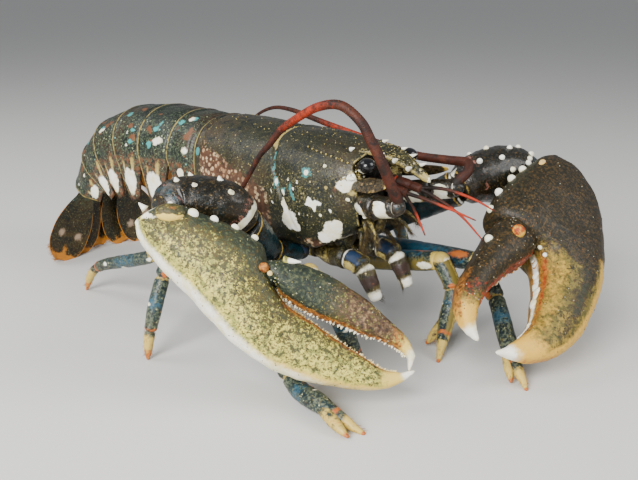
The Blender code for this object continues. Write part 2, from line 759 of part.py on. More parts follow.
def tailRing(number, front, back, half, nextHalf, depth):
    along, _ = planeAxes(front[1])
    start = (front[0] + along * jointGap, front[1])
    grids = []
    for inner in (False, True):
        first = ringRow(start, half * ringFrontShare, depth, inner)
        last = ringRow(back, (half + nextHalf) / 2, depth, inner)
        rows = []
        for step in range(4):
            part = step / 3
            row = []
            for (a, share), (b, _) in zip(first, last):
                low = 0.34 * share
                high = 1.0 - 0.18 * share
                if depth < 0.045:
                    low = 0.20 * share
                point = a.lerp(b, low + (high - low) * part)
                if not inner:
                    swell = ringSwell * math.sin(math.pi * part)
                    point = point + Vector((0.0, math.copysign(swell, point.y), swell * 0.6))
                row.append(point)
            rows.append(row)
        grids.append(rows)
    return addObject("abdomen_%d" % (number + 1), plate(grids[0], grids[1]), pleuronMaterial())


# Swimmeret leaf hanging between the pleura
def swimmeret(root, along, down):
    widest, thick, length, sweep, _ = swimmeretSize
    upper = []
    lower = []
    for row in range(5):
        part = row / 4
        half = widest * math.sin(math.pi * (0.16 + 0.80 * part))
        centre = root + down * (length * part) + along * (sweep * part * part)
        upper.append([centre + Vector((0, half * step, 0)) - along * thick for step in (-1, 0, 1)])
        lower.append([centre + Vector((0, half * step, 0)) + along * thick for step in (-1, 0, 1)])
    return plate(upper, lower)


def abdomen():
    planes = tailPlanes()
    for number, (_, _, half, depth) in enumerate(tailRings):
        nextHalf = tailRings[min(number + 1, len(tailRings) - 1)][2]
        ring = tailRing(number, planes[number], planes[number + 1], half, nextHalf, depth)
        if 0 < number < 5:
            middle = (planes[number][0] + planes[number + 1][0]) / 2
            slope = (planes[number][1] + planes[number + 1][1]) / 2
            along, down = planeAxes(slope)
            leaves = []
            for side in (-1, 1):
                root = middle + down * (ringDepth - 0.003) + Vector((0, side * swimmeretSize[-1], 0))
                leaves.append(swimmeret(root, along, down))
            fuse(ring, leaves, pleuronMaterial())
    return planes


# Leaf of the tail fan: grid along its run and across it, thinner to the edge, with a raised ridge
def fanLeaf(name, root, along, side, face, size, ridge):
    length, half, thick = size
    upper = []
    lower = []
    for row in range(8):
        part = row / 7
        width = half * (0.34 + 0.66 * math.sin(min(part * 1.7, 1.0) * math.pi / 2))
        width *= math.sqrt(max(1.0 - max(part - leafWidest, 0.0) ** 2 / 0.1225, 0.04))
        top = []
        under = []
        for step in range(-4, 5):
            across = step / 4
            edge = 1.0 - 0.55 * across * across
            body = thick * (1.0 - 0.55 * part) * edge / 2
            rise = ridge * max(0.0, 1.0 - abs(across) * 3.2) * (1 - part)
            centre = root + along * length * part + side * width * across
            centre = centre - face * (leafCurl * part * part + leafHollow * across * across)
            for line, point in ((top, centre + face * (body + rise)), (under, centre - face * body)):
                point.z = max(point.z, 0.0)
                line.append(point)
        upper.append(top)
        lower.append(under)
    return addObject(name, plate(upper, lower), fanMaterial())


def tailFan(planes):
    crest, slope = planes[-1]
    along, down = planeAxes(slope)
    run, inward = planeAxes(telsonSlope)
    face = -inward
    sideways = Vector((0.0, 1.0, 0.0))
    root = crest - along * 0.0012 + down * 0.0046
    tail = bpy.data.objects["abdomen_6"]
    telson = fanLeaf("telson", root, run, sideways, face, telsonSize, telsonRidge)
    cutClear(telson, tail, socketGap)
    for side, name in ((-1, "right"), (1, "left")):
        for kind, size, place, turn, layer, clear in sideLeaves:
            leafRun = (run * math.cos(turn) + sideways * side * math.sin(turn)).normalized()
            leafSide = face.cross(leafRun).normalized()
            start = crest + along * (jointGap + clear) + down * layer + sideways * side * place
            leaf = fanLeaf("uropod_%s_%s" % (kind, name), start, leafRun, leafSide, face, size, leafRidge)
            cutClear(leaf, tail, socketGap)


def clawPoint(wrist, run, side, along, across):
    return wrist + run * (along * 0.001) + side * (across * 0.001)


# Ring round one bar of a claw
def barRing(wrist, run, side, bar):
    lowAlong, lowAcross, highAlong, highAcross, thick = bar
    low = clawPoint(wrist, run, side, lowAlong, lowAcross)
    high = clawPoint(wrist, run, side, highAlong, highAcross)
    outward = run.cross(side).normalized()
    middle = (low + high) / 2
    reach = (high - low) / 2
    ring = []
    for index in range(clawSides):
        angle = 2 * math.pi * index / clawSides
        ring.append(middle + reach * bulge(math.cos(angle), clawPower)
                    + outward * (thick * 0.0005) * bulge(math.sin(angle), clawPower))
    return ring


def edgeAt(bars, part, inner):
    spot = part * (len(bars) - 1)
    low = min(int(spot), len(bars) - 2)
    share = spot - low
    pick = 2 if inner else 0
    along = bars[low][pick] + (bars[low + 1][pick] - bars[low][pick]) * share
    across = bars[low][pick + 1] + (bars[low + 1][pick + 1] - bars[low][pick + 1]) * share
    return along, across


def clawForm(name, wrist, run, side, bars, tip, finish):
    rings = [barRing(wrist, run, side, bar) for bar in bars]
    return addObject(name, loft(rings, clawPoint(wrist, run, side, *tip)), finish)


# Row of teeth on one edge of a finger, from one bar to another
def toothRow(wrist, run, side, bars, inner, row, draw, blunt):
    count, first, last, size = row
    teeth = []
    towards = side if inner else -side
    for index in range(count):
        part = first + (last - first) * index / (count - 1)
        along, across = edgeAt(bars, part, inner)
        scale = size * (0.75 + 0.5 * draw.random())
        root = clawPoint(wrist, run, side, along, across)
        if blunt:
            teeth.append(knob(root - towards * scale * 0.25, scale, towards, 0.9))
        else:
            teeth.append(spine(root - towards * 0.0004, towards + run * 0.25, scale, scale * 0.62, 4))
    return teeth


def claws():
    draw = random.Random(11)
    cutter = (cutterWrist, cutterRun, cutterSide)
    palm = clawForm("claw_palm_right", *cutter, cutterPalm, cutterPalmTip, cutterMaterial())
    finger = clawForm("claw_finger_right", *cutter, cutterFinger, cutterFingerTip, cutterMaterial())
    teeth = toothRow(*cutter, cutterPalm, True, cutterPalmTeeth, draw, False)
    for along, across in cutterTubercles:
        root = clawPoint(*cutter, along, across)
        teeth.append(spine(root, cutterSide * 0.8 + cutterRun * 0.7, 0.0044, 0.0021))
    fuse(palm, teeth, cutterMaterial())
    teeth = toothRow(*cutter, cutterFinger, False, cutterFingerTeeth, draw, False)
    teeth.append(spine(clawPoint(*cutter, *cutterFingerSpine), cutterSide * 0.4 + cutterRun, 0.0055, 0.0022))
    fuse(finger, teeth, cutterMaterial())
    cutClear(palm, finger, socketGap)
    crusher = (crusherWrist, crusherRun, crusherSide)
    otherPalm = clawForm("claw_palm_left", *crusher, crusherPalm, crusherPalmTip, crusherMaterial())
    otherFinger = clawForm("claw_finger_left", *crusher, crusherFinger, crusherFingerTip, crusherMaterial())
    teeth = toothRow(*crusher, crusherPalm, True, crusherPalmTeeth, draw, True)
    for along, across in crusherTubercles:
        root = clawPoint(*crusher, along, across)
        teeth.append(knob(root, 0.0026, crusherSide, 1.25))
    fuse(otherPalm, teeth, crusherMaterial())
    teeth = toothRow(*crusher, crusherFinger, False, crusherFingerTeeth, draw, True)
    fuse(otherFinger, teeth, crusherMaterial())
    cutClear(otherPalm, otherFinger, socketGap)
    return palm, otherPalm


def armSegments(arm, carpusPlaces, name, palm, finish):
    (root, rootRadius), (middle, middleRadius), (elbow, elbowRadius) = arm
    root, middle, elbow = Vector(root), Vector(middle), Vector(elbow)
    outward = Vector((0.0, math.copysign(1.0, root.y), 0.0))
    turn = ((middle - root).normalized() + (elbow - middle).normalized()).normalized()
    carpus = [Vector(place) for place, _ in carpusPlaces]
    bend = ((elbow - middle).normalized() + (carpus[1] - carpus[0]).normalized()).normalized()
    route = smoothRoute((root, root + outward * 0.008, middle - turn * jointGap), 3)
    form = tube(route, spread((rootRadius, 0.0054, middleRadius * 0.9), len(route)), start=outward, end=turn)
    addObject("arm_ischium_" + name, form, finish)
    centre = middle.lerp(elbow, 0.55)
    route = smoothRoute((middle, centre, elbow - bend * jointGap), 3)
    radii = spread((middleRadius * 0.9, middleRadius * 1.15, elbowRadius * 1.1, elbowRadius), len(route))
    form = tube(route, radii, start=turn, end=bend)
    merus = addObject("arm_merus_" + name, form, finish)
    tip = elbow + Vector((0, 0, elbowRadius * 0.9)) - bend * 0.009
    fuse(merus, [spine(tip, Vector((0, 0, 1)) + bend * 0.3, 0.0050, 0.0024)], finish)
    route = smoothRoute(carpus, 3)
    radii = spread([radius for _, radius in carpusPlaces], len(route))
    wrist = addObject("arm_carpus_" + name, tube(route, radii, sides=14, start=bend), finish)
    spines = []
    for index, angle in carpusSpines:
        along = (route[index + 1] - route[index - 1]).normalized()
        side = along.cross(Vector((0, 0, 1))).normalized()
        away = (Vector((0, 0, 1)) * math.sin(math.radians(angle)) + side * math.cos(math.radians(angle)))
        root = route[index] + away * (radii[index] - 0.0004)
        spines.append(spine(root, away + along * 0.4, *carpusSpineSize))
    fuse(wrist, spines, finish)
    cutClear(wrist, palm, socketGap)
    cutClear(wrist, merus, 2 * socketGap)


def legs():
    for table, side, name in ((rightLegs, -1, "right"), (leftLegs, 1, "left")):
        for number, (rootPlace, *places) in enumerate(table):
            root = Vector((rootPlace, side * (thoraxHalf + jointGap), legRootHeight))
            joints = [place and Vector(place) for place in places]
            walkingLeg("leg_%s_%d" % (name, number + 1), side, root, joints)


def walkingLeg(name, side, root, places):
    first, second, knee, wrist, ankle, foot, thumbTip = places
    bend = ((knee - second).normalized() + (wrist - knee).normalized()).normalized()
    route = smoothRoute((root, first, second, knee - bend * jointGap), 3)
    form = tube(route, spread(legRadii, len(route)), sides=8, start=Vector((0.0, side, 0.0)), end=bend)
    upper = addObject(name + "_upper", form, legMaterial())
    route = smoothRoute((knee, wrist, ankle, foot), 3)
    radii = pincerRadii if thumbTip else hookRadii
    form = tube(route, spread(radii, len(route)), sides=8, start=bend, end=Vector((0, 0, -1)))
    lower = addObject(name + "_lower", form, legMaterial())
    if thumbTip:
        start = ankle + (wrist - ankle).normalized() * 0.003
        middle = ankle.lerp(thumbTip, 0.5) + (thumbTip - foot).normalized() * 0.0012
        thumb = smoothRoute((start, middle, thumbTip), 3)
        fuse(lower, [tube(thumb, spread(thumbRadii, len(thumb)), sides=6)], legMaterial())
    cutClear(upper, lower)


# Puts the origin on the floor under the middle of the whole animal
def centreModel():
    low = Vector((1.0, 1.0, 1.0))
    high = -low
    bodies = [item for item in bpy.data.objects if item.type == "MESH"]
    for body in bodies:
        for vert in body.data.vertices:
            for axis in range(3):
                low[axis] = min(low[axis], vert.co[axis])
                high[axis] = max(high[axis], vert.co[axis])
    origin = bpy.data.objects.new("lobster", None)
    bpy.context.scene.collection.objects.link(origin)
    origin.location = (-(low.x + high.x) / 2, -(low.y + high.y) / 2, 0.0)
    for body in bodies:
        body.parent = origin


def main():
    clearScene()
    carapace()
    rostrum()
    thorax()
    mouthparts()
    eyes()
    antennaBases()
    antennaScales()
    whips()
    antennules()
    tailFan(abdomen())
    rightPalm, leftPalm = claws()
    armSegments(rightArm, rightCarpus, "right", rightPalm, shellMaterial())
    armSegments(leftArm, leftCarpus, "left", leftPalm, shellMaterial())
    legs()
    centreModel()


main()
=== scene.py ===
# European lobster, life size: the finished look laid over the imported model
import math
import random
import bmesh
import bpy
from mathutils import Matrix, Vector, noise


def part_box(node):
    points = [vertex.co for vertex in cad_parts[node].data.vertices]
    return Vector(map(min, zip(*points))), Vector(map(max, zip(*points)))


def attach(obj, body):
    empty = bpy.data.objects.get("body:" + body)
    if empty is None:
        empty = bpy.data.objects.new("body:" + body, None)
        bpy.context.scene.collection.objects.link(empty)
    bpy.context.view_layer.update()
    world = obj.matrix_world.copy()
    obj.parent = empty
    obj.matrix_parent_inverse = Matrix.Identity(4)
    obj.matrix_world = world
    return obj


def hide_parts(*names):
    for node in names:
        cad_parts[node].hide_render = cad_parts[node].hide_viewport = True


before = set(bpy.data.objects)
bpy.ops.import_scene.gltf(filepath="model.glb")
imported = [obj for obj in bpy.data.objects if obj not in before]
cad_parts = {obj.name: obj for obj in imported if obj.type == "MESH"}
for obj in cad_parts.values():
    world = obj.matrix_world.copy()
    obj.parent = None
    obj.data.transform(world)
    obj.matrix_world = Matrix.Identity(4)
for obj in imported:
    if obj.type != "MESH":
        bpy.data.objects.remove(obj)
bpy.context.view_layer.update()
# the tables are in the animal's own place: x forward from the rear edge of the back shell, z from the floor
thoraxCorner = Vector((0.010, -0.0172, 0.0425))
shift = Vector(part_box("thorax_underside")[0]) - thoraxCorner
masks = ("pale", "warm", "cool", "dark", "gold", "dots")


def linear(red, green, blue):
    parts = [value / 255.0 for value in (red, green, blue)]
    return tuple(p / 12.92 if p <= 0.04045 else ((p + 0.055) / 1.055) ** 2.4 for p in parts) + (1.0,)


# stops of a colour ramp: place, then red, green, blue
def tones(*stops):
    return [(place, linear(*colour)) for place, *colour in stops]


def bulge(value, power):
    return math.copysign(abs(value) ** (2.0 / power), value)


def hump(value, centre, width):
    return math.exp(-((value - centre) / width) ** 2)


def step(value, low, high):
    t = min(max((value - low) / (high - low), 0.0), 1.0)
    return t * t * (3 - 2 * t)


# smooth row of a table at a broken row number
def sample(table, place):
    last = len(table) - 1
    place = min(max(place, 0.0), float(last))
    low = min(int(place), last - 1)
    t = place - low
    rows = [table[max(low - 1, 0)], table[low], table[low + 1], table[min(low + 2, last)]]
    found = []
    for a, b, c, d in zip(*rows):
        found.append(0.5 * (2 * b + (c - a) * t + (2 * a - 5 * b + 4 * c - d) * t * t
                            + (3 * b - a - 3 * c + d) * t * t * t))
    return found


def jitter(point, size, amount):
    return noise.noise(point / size) * amount


def mirrored(point, side):
    return Vector((point[0], side * point[1], point[2]))


def newForm():
    form = bmesh.new()
    for mask in masks:
        form.verts.layers.float.new(mask)
    return form


def setMasks(form, vert, values):
    for mask, value in values.items():
        vert[form.verts.layers.float[mask]] = value


# closed tube: place(v, u) gives a point, paint(v, u, point) its colour masks
def wrap(form, rows, columns, place, paint=None, leaveOpen=False):
    made = bmesh.ops.create_grid(form, x_segments=columns, y_segments=rows, size=1.0)["verts"]
    for vert in made:
        u = round((vert.co.x + 1) / 2 * columns) / columns
        v = round((vert.co.y + 1) / 2 * rows) / rows
        vert.co = place(v, 0.0 if u == 1.0 and not leaveOpen else u)
        if paint:
            setMasks(form, vert, paint(v, u, vert.co))
    bmesh.ops.remove_doubles(form, verts=made, dist=1e-7)
    left = [vert for vert in made if vert.is_valid]
    rims = {edge for vert in left for edge in vert.link_edges if edge.is_boundary}
    if rims and not leaveOpen:
        bmesh.ops.holes_fill(form, edges=list(rims), sides=0)
    return left


# frames carried along a route without twist
def framesAlong(places, count):
    points = [Vector(sample(places, index / count * (len(places) - 1))) for index in range(count + 1)]
    frames = []
    side = None
    for index, point in enumerate(points):
        along = (points[min(index + 1, count)] - points[max(index - 1, 0)]).normalized()
        if side is None:
            guide = Vector((0, 0, 1)) if abs(along.z) < 0.9 else Vector((1, 0, 0))
            side = along.cross(guide).normalized()
        side = (side - along * side.dot(along)).normalized()
        frames.append((point, along, side, side.cross(along).normalized()))
    return frames


def tube(form, places, radiusAt, rows, columns, paint=None, flat=1.0, roughen=0.0):
    frames = framesAlong(places, rows)

    def place(v, u):
        centre, along, side, top = frames[round(v * rows)]
        radius = radiusAt(v)
        angle = 2 * math.pi * u
        point = centre + side * math.cos(angle) * radius + top * math.sin(angle) * radius * flat
        if roughen and radius > 0:
            point += (point - centre).normalized() * jitter(point, 0.0035, roughen)
        return point
    return wrap(form, rows, columns, place, paint)


# smooth value along a row of plain numbers
def profile(values):
    table = [(value,) for value in values]
    return lambda v: sample(table, v * (len(table) - 1))[0]


# radius along a row of sizes: a pinch at each joint, a swelling before it, a round end
def jointedRadius(sizes, joints, pinch, swell, end):
    plain = profile(sizes)

    def radiusAt(v):
        size = plain(v)
        for joint in joints:
            size *= 1 - pinch[0] * hump(v, joint, pinch[1]) + swell[0] * hump(v, joint - swell[1], swell[2])
        return size * math.sqrt(max(1 - max((v - end) / (1 - end), 0.0) ** 2, 0.0))
    return radiusAt


# curved spine standing on a surface, root sunk in
def spine(form, root, direction, length, radius, values, tipValues=None, bend=None, sides=8, rows=6):
    along = Vector(direction).normalized()
    guide = Vector((0, 0, 1)) if abs(along.z) < 0.9 else Vector((1, 0, 0))
    side = along.cross(guide).normalized()
    top = side.cross(along)
    curve = Vector(bend) if bend else Vector((0, 0, 0))
    start = Vector(root) - along * length * 0.3

    def place(v, u):
        angle = 2 * math.pi * u
        size = radius * max(1 - v ** 1.5, 0.0) ** 0.85 * (1 + 0.45 * (1 - v) ** 5)
        around = side * math.cos(angle) + top * math.sin(angle)
        return start + along * (length * 1.3 * v) + curve * v * v + around * size

    def paint(v, u, point):
        blend = step(v, 0.16, 0.36)
        tips = tipValues or values
        return {mask: values.get(mask, 0) * (1 - blend) + tips.get(mask, 0) * blend for mask in masks}
    wrap(form, rows, sides, place, paint)


# lump set on a surface; across turns its long side, paint works in its own halves
def pebble(form, centre, sizes, direction, values, fineness=2, across=None):
    along = Vector(direction).normalized()
    if across:
        side = Vector(across) - along * along.dot(Vector(across))
        side.normalize()
        turn = Matrix((side, along.cross(side), along)).transposed().to_4x4()
    else:
        turn = Vector((0, 0, 1)).rotation_difference(along).to_matrix().to_4x4()
    where = Matrix.Translation(Vector(centre)) @ turn @ Matrix.Diagonal((*sizes, 1.0))
    made = bmesh.ops.create_icosphere(form, subdivisions=fineness, radius=1.0, matrix=where)["verts"]
    back = where.inverted()
    for vert in made:
        setMasks(form, vert, values(back @ vert.co) if callable(values) else values)
    return made


def granule(form, spot, size, values, direction=(0, 0, 1)):
    pebble(form, spot, (size, size, size), direction, values, 1)


# thin hair: a three-sided needle
def hair(form, root, direction, length, radius, spot):
    along = Vector(direction).normalized()
    turn = Vector((0, 0, 1)).rotation_difference(along).to_matrix().to_4x4()
    where = Matrix.Translation(Vector(root) + along * length * 0.42) @ turn
    made = bmesh.ops.create_cone(form, cap_ends=True, segments=3, radius1=radius, radius2=radius * 0.12,
                                 depth=length, matrix=where)["verts"]
    layer = form.loops.layers.uv["OFBake"]
    for face in {face for vert in made for face in vert.link_faces}:
        for index, loop in enumerate(face.loops):
            loop[layer].uv = (spot[0] + 0.003 * (index % 2), spot[1] + 0.003 * (index // 2))


def newCoat():
    form = newForm()
    form.loops.layers.uv.new("OFBake")
    return form


def finishPiece(name, form, nodes, finish, sharp=None):
    bmesh.ops.recalc_face_normals(form, faces=form.faces)
    bmesh.ops.translate(form, verts=form.verts, vec=shift)
    for vert in form.verts:
        vert.co.z = max(vert.co.z, 0.0)
    mesh = bpy.data.meshes.new(name)
    form.to_mesh(mesh)
    form.free()
    mesh.materials.append(finish)
    mesh.shade_smooth()
    if sharp:
        mesh.set_sharp_from_angle(angle=math.radians(sharp))
    piece = bpy.data.objects.new(name, mesh)
    bpy.context.scene.collection.objects.link(piece)
    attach(piece, "root")
    if nodes:
        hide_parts(*nodes)
    return piece


def newFinish(name):
    made = bpy.data.materials.new(name)
    made.use_nodes = True
    return made, made.node_tree, made.node_tree.nodes["Principled BSDF"]


def dial(node, settings):
    for socket, value in settings.items():
        node.inputs[socket].default_value = value


# mottled ground, speckles and flecks that thicken with a mask, then one colour layer for each mask
def wetShell(name, look):
    made, tree, shader = newFinish(name)
    coordinates = tree.nodes.new("ShaderNodeTexCoord").outputs["Object"]

    def plug(value, socket):
        if hasattr(value, "is_output"):
            tree.links.new(value, socket)
        else:
            socket.default_value = value

    def cloud(scale, detail=4.0, roughness=0.55, distortion=0.0):
        node = tree.nodes.new("ShaderNodeTexNoise")
        plug(coordinates, node.inputs["Vector"])
        dial(node, {"Scale": scale, "Detail": detail, "Roughness": roughness, "Distortion": distortion})
        return node.outputs["Fac"]

    def cells(scale):
        node = tree.nodes.new("ShaderNodeTexVoronoi")
        plug(coordinates, node.inputs["Vector"])
        node.inputs["Scale"].default_value = scale
        return node.outputs["Distance"]

    def ramp(value, stops):
        node = tree.nodes.new("ShaderNodeValToRGB")
        plug(value, node.inputs["Fac"])
        points = node.color_ramp.elements
        while len(points) < len(stops):
            points.new(0.5)
        for point, (place, colour) in zip(points, stops):
            point.position = place
            point.color = colour
        return node.outputs["Color"]

    def sums(kind, first, second):
        node = tree.nodes.new("ShaderNodeMath")
        node.operation = kind
        plug(first, node.inputs[0])
        plug(second, node.inputs[1])
        return node.outputs[0]

    def spread(value, low, high):
        node = tree.nodes.new("ShaderNodeMapRange")
        node.interpolation_type = "SMOOTHSTEP"
        plug(value, node.inputs["Value"])
        dial(node, {"From Min": low, "From Max": high})
        return node.outputs["Result"]

    def mixed(amount, first, second):
        node = tree.nodes.new("ShaderNodeMix")
        node.data_type = "RGBA"
        plug(amount, node.inputs["Factor"])
        plug(first, node.inputs[6])
        plug(second, node.inputs[7])
        return node.outputs[2]

    def mask(label):
        node = tree.nodes.new("ShaderNodeAttribute")
        node.attribute_name = label
        return node.outputs["Fac"]

    def tinted(tint):
        return tint(ramp, cells, cloud, mixed, spread) if callable(tint) else tint

    colour = ramp(cloud(look["wide"], 5.0, 0.6, 0.6), look["ground"])
    middle = cloud(look["middle"], 5.0, 0.62, 0.3)
    colour = mixed(spread(middle, *look["mottleEdge"]), colour, look["mottle"])
    for scale, label, weight, low, high, tint in look["speckles"]:
        grainy = sums("ADD", cloud(scale, 3.0, 0.6, 0.4), sums("MULTIPLY", mask(label), weight))
        colour = mixed(spread(grainy, low, high), colour, tinted(tint))
    for scale, label, weight, low, high, tint in look["flecks"]:
        spots = sums("ADD", cells(scale), sums("MULTIPLY", cloud(scale * 0.4, 2.0), 0.55))
        spots = sums("SUBTRACT", spots, sums("MULTIPLY", mask(label), weight))
        colour = mixed(spread(spots, high, low), colour, tinted(tint))
    edge = cloud(look["edge"], 5.0, 0.65)
    for label, low, high, ragged, tint in look["layers"]:
        warped = sums("ADD", mask(label), sums("MULTIPLY", sums("SUBTRACT", edge, 0.5), ragged))
        colour = mixed(spread(warped, low, high), colour, tinted(tint))
    plug(colour, shader.inputs["Base Color"])
    fine = cloud(look["grain"], 3.0, 0.7)
    low, high = look["rough"]
    blend = sums("ADD", sums("MULTIPLY", fine, 0.6), sums("MULTIPLY", middle, 0.4))
    plug(sums("ADD", sums("MULTIPLY", spread(blend, 0.25, 0.75), high - low), low),
         shader.inputs["Roughness"])
    pits = spread(cells(look["pits"]), 0.0, 0.45)
    height = sums("ADD", sums("MULTIPLY", pits, look["pitDepth"]), sums("MULTIPLY", fine, look["grainDepth"]))
    height = sums("ADD", height, sums("MULTIPLY", middle, 0.6))
    bump = tree.nodes.new("ShaderNodeBump")
    dial(bump, {"Strength": look["bump"], "Distance": 0.0006})
    plug(height, bump.inputs["Height"])
    plug(bump.outputs["Normal"], shader.inputs["Normal"])
    dial(shader, {"Specular IOR Level": 0.34, "Coat Weight": look["coat"], "Coat Roughness": 0.16})
    return made


def marbled(ramp, cells, cloud, mixed, spread):
    dots = spread(cells(340.0), 0.50, 0.32)
    ground = ramp(cloud(230.0), tones((0.35, 58, 36, 24), (0.65, 96, 64, 42)))
    return mixed(dots, ground, ramp(cloud(90.0), tones((0.40, 150, 112, 80), (0.62, 204, 180, 140))))


# tint drawn by one cloud: its scale, the stops of its colours, its detail and roughness
def cloudTint(scale, stops, detail=4.0, roughness=0.55):
    return lambda ramp, cells, cloud, mixed, spread: ramp(cloud(scale, detail, roughness), stops)


blueGrey = cloudTint(520.0, tones((0.38, 16, 24, 20), (0.52, 38, 48, 36), (0.64, 84, 88, 58)), 6.0, 0.7)
roseBrown = cloudTint(470.0, tones((0.38, 44, 29, 19), (0.52, 84, 60, 40), (0.64, 142, 114, 78)), 6.0, 0.7)
rustBrown = cloudTint(620.0, tones((0.36, 15, 15, 7), (0.50, 32, 28, 12), (0.62, 78, 58, 26)), 6.0, 0.7)
burnt = cloudTint(600.0, tones((0.40, 96, 46, 12), (0.62, 186, 122, 46)))
ivory = cloudTint(160.0, tones((0.35, 232, 224, 182), (0.60, 248, 246, 232)))
shellLook = {
    "wide": 38.0, "middle": 170.0, "grain": 1500.0, "pits": 900.0, "pitDepth": 0.5, "grainDepth": 0.6,
    "bump": 0.42, "edge": 420.0,
    "ground": tones((0.30, 20, 26, 17), (0.48, 37, 37, 22), (0.62, 54, 43, 26), (0.75, 28, 40, 33)),
    "mottle": linear(15, 21, 17), "mottleEdge": (0.50, 0.64),
    "speckles": ((900.0, "dots", 0.10, 0.58, 0.70, linear(84, 80, 48)),),
    "flecks": ((430.0, "dots", 0.16, 0.24, 0.34, linear(140, 128, 84)),
               (290.0, "dots", 0.18, 0.16, 0.24, linear(190, 174, 124)),
               (210.0, "cool", 0.26, 0.16, 0.24, linear(92, 142, 140))),
    "layers": (("warm", 0.36, 0.66, 1.6, marbled),
               ("cool", 0.50, 0.60, 1.1, linear(58, 122, 120)),
               ("gold", 0.45, 0.60, 0.7, linear(166, 148, 84)),
               ("dark", 0.42, 0.60, 0.6, linear(20, 16, 10)),
               ("pale", 0.45, 0.55, 0.55, ivory)),
    "rough": (0.32, 0.56), "coat": 0.08,
}
tailLook = dict(
    shellLook,
    ground=tones((0.30, 12, 20, 19), (0.48, 26, 34, 26), (0.62, 54, 38, 24), (0.75, 16, 42, 44)),
    speckles=((800.0, "dots", 0.10, 0.56, 0.66, linear(70, 80, 58)),),
    flecks=((420.0, "dots", 0.18, 0.27, 0.35, linear(136, 142, 104)),
            (200.0, "dots", 0.18, 0.16, 0.25, linear(98, 164, 156)),
            (130.0, "dots", 0.16, 0.12, 0.20, linear(172, 92, 36))),
    layers=(("warm", 0.40, 0.62, 0.9, linear(104, 64, 36)), ("cool", 0.44, 0.60, 0.8, linear(62, 146, 142)),
            ("gold", 0.40, 0.66, 1.0, linear(158, 138, 74)), ("dark", 0.42, 0.60, 0.6, linear(20, 16, 12)),
            ("pale", 0.42, 0.62, 0.45, ivory)))
armLook = dict(
    shellLook, ground=tones((0.30, 11, 12, 8), (0.50, 24, 21, 12), (0.66, 40, 29, 16), (0.78, 14, 27, 27)),
    rough=(0.20, 0.42), coat=0.22, speckles=((800.0, "dots", 0.10, 0.62, 0.70, linear(72, 58, 34)),),
    flecks=((330.0, "dots", 0.20, 0.18, 0.26, linear(124, 100, 62)),),
    layers=(("cool", 0.40, 0.64, 1.1, linear(20, 54, 62)), ("gold", 0.45, 0.60, 0.8, linear(186, 152, 66)),
            ("warm", 0.42, 0.62, 1.2, linear(150, 98, 84)), ("pale", 0.44, 0.56, 0.5, ivory)))
cutterLook = {
    "wide": 60.0, "middle": 300.0, "grain": 2200.0, "pits": 1000.0, "pitDepth": 0.8, "grainDepth": 0.6,
    "bump": 0.42, "edge": 520.0,
    "ground": tones((0.30, 188, 174, 70), (0.48, 212, 198, 92), (0.60, 176, 168, 80), (0.74, 196, 176, 74)),
    "mottle": linear(142, 142, 66), "mottleEdge": (0.46, 0.62),
    "speckles": ((560.0, "dark", 0.21, 0.57, 0.71, linear(66, 68, 33)),
                 (1050.0, "dark", 0.24, 0.60, 0.74, linear(82, 70, 33)),
                 (330.0, "dark", 0.20, 0.66, 0.82, linear(54, 56, 32))),
    "flecks": ((620.0, "dark", 0.14, 0.34, 0.48, linear(50, 44, 22)),
               (520.0, "dots", 0.16, 0.12, 0.20, linear(196, 180, 110))),
    "layers": (("cool", 0.34, 0.80, 2.2, blueGrey), ("gold", 0.30, 0.80, 0.9, linear(224, 192, 92)),
               ("warm", 0.34, 0.80, 1.8, roseBrown), ("dots", 0.36, 0.92, 1.2, burnt),
               ("pale", 0.26, 0.86, 0.5, ivory)),
    "rough": (0.40, 0.64), "coat": 0.04,
}
crusherLook = dict(
    cutterLook,
    ground=tones((0.30, 120, 100, 34), (0.48, 150, 124, 46), (0.60, 110, 98, 38), (0.74, 98, 76, 26)),
    mottle=linear(78, 74, 28),
    speckles=((240.0, "dark", 0.60, 0.70, 1.02, rustBrown), (620.0, "dark", 0.34, 0.64, 0.80, rustBrown)),
    flecks=((560.0, "dark", 0.14, 0.32, 0.44, linear(30, 24, 10)),
            (470.0, "dark", 0.14, 0.20, 0.30, linear(104, 66, 26))),
    layers=(("cool", 0.34, 0.74, 1.8, linear(38, 44, 24)), ("gold", 0.30, 0.80, 0.9, linear(214, 168, 62)),
            ("warm", 0.34, 0.80, 1.6, linear(156, 50, 14)), ("dots", 0.36, 0.86, 1.2, burnt),
            ("pale", 0.26, 0.86, 0.5, ivory)))
legLook = dict(
    shellLook, ground=tones((0.30, 12, 24, 28), (0.48, 22, 40, 44), (0.62, 40, 52, 46), (0.75, 52, 48, 26)),
    mottle=linear(14, 20, 20),
    speckles=((700.0, "dots", 0.14, 0.56, 0.70, linear(88, 96, 76)),),
    flecks=((420.0, "dots", 0.20, 0.22, 0.32, linear(156, 156, 118)),),
    layers=(("cool", 0.38, 0.66, 1.2, linear(34, 84, 106)), ("dark", 0.36, 0.68, 1.2, linear(112, 98, 42)),
            ("gold", 0.36, 0.70, 1.2, linear(200, 172, 84)), ("warm", 0.40, 0.66, 1.0, linear(178, 94, 34)),
            ("pale", 0.42, 0.64, 0.6, ivory)), rough=(0.30, 0.54), coat=0.08)
feelerLook = dict(
    shellLook, wide=90.0, ground=tones((0.30, 36, 14, 6), (0.48, 60, 24, 10), (0.62, 76, 33, 14),
                                       (0.75, 46, 20, 10)),
    mottle=linear(30, 14, 7), speckles=((900.0, "dots", 0.1, 0.62, 0.72, linear(108, 62, 30)),), flecks=(),
    layers=(("dark", 0.36, 0.66, 0.6, linear(26, 17, 10)), ("gold", 0.38, 0.66, 0.7, linear(152, 44, 14)),
            ("pale", 0.46, 0.58, 0.4, ivory)), rough=(0.50, 0.72), coat=0.0)
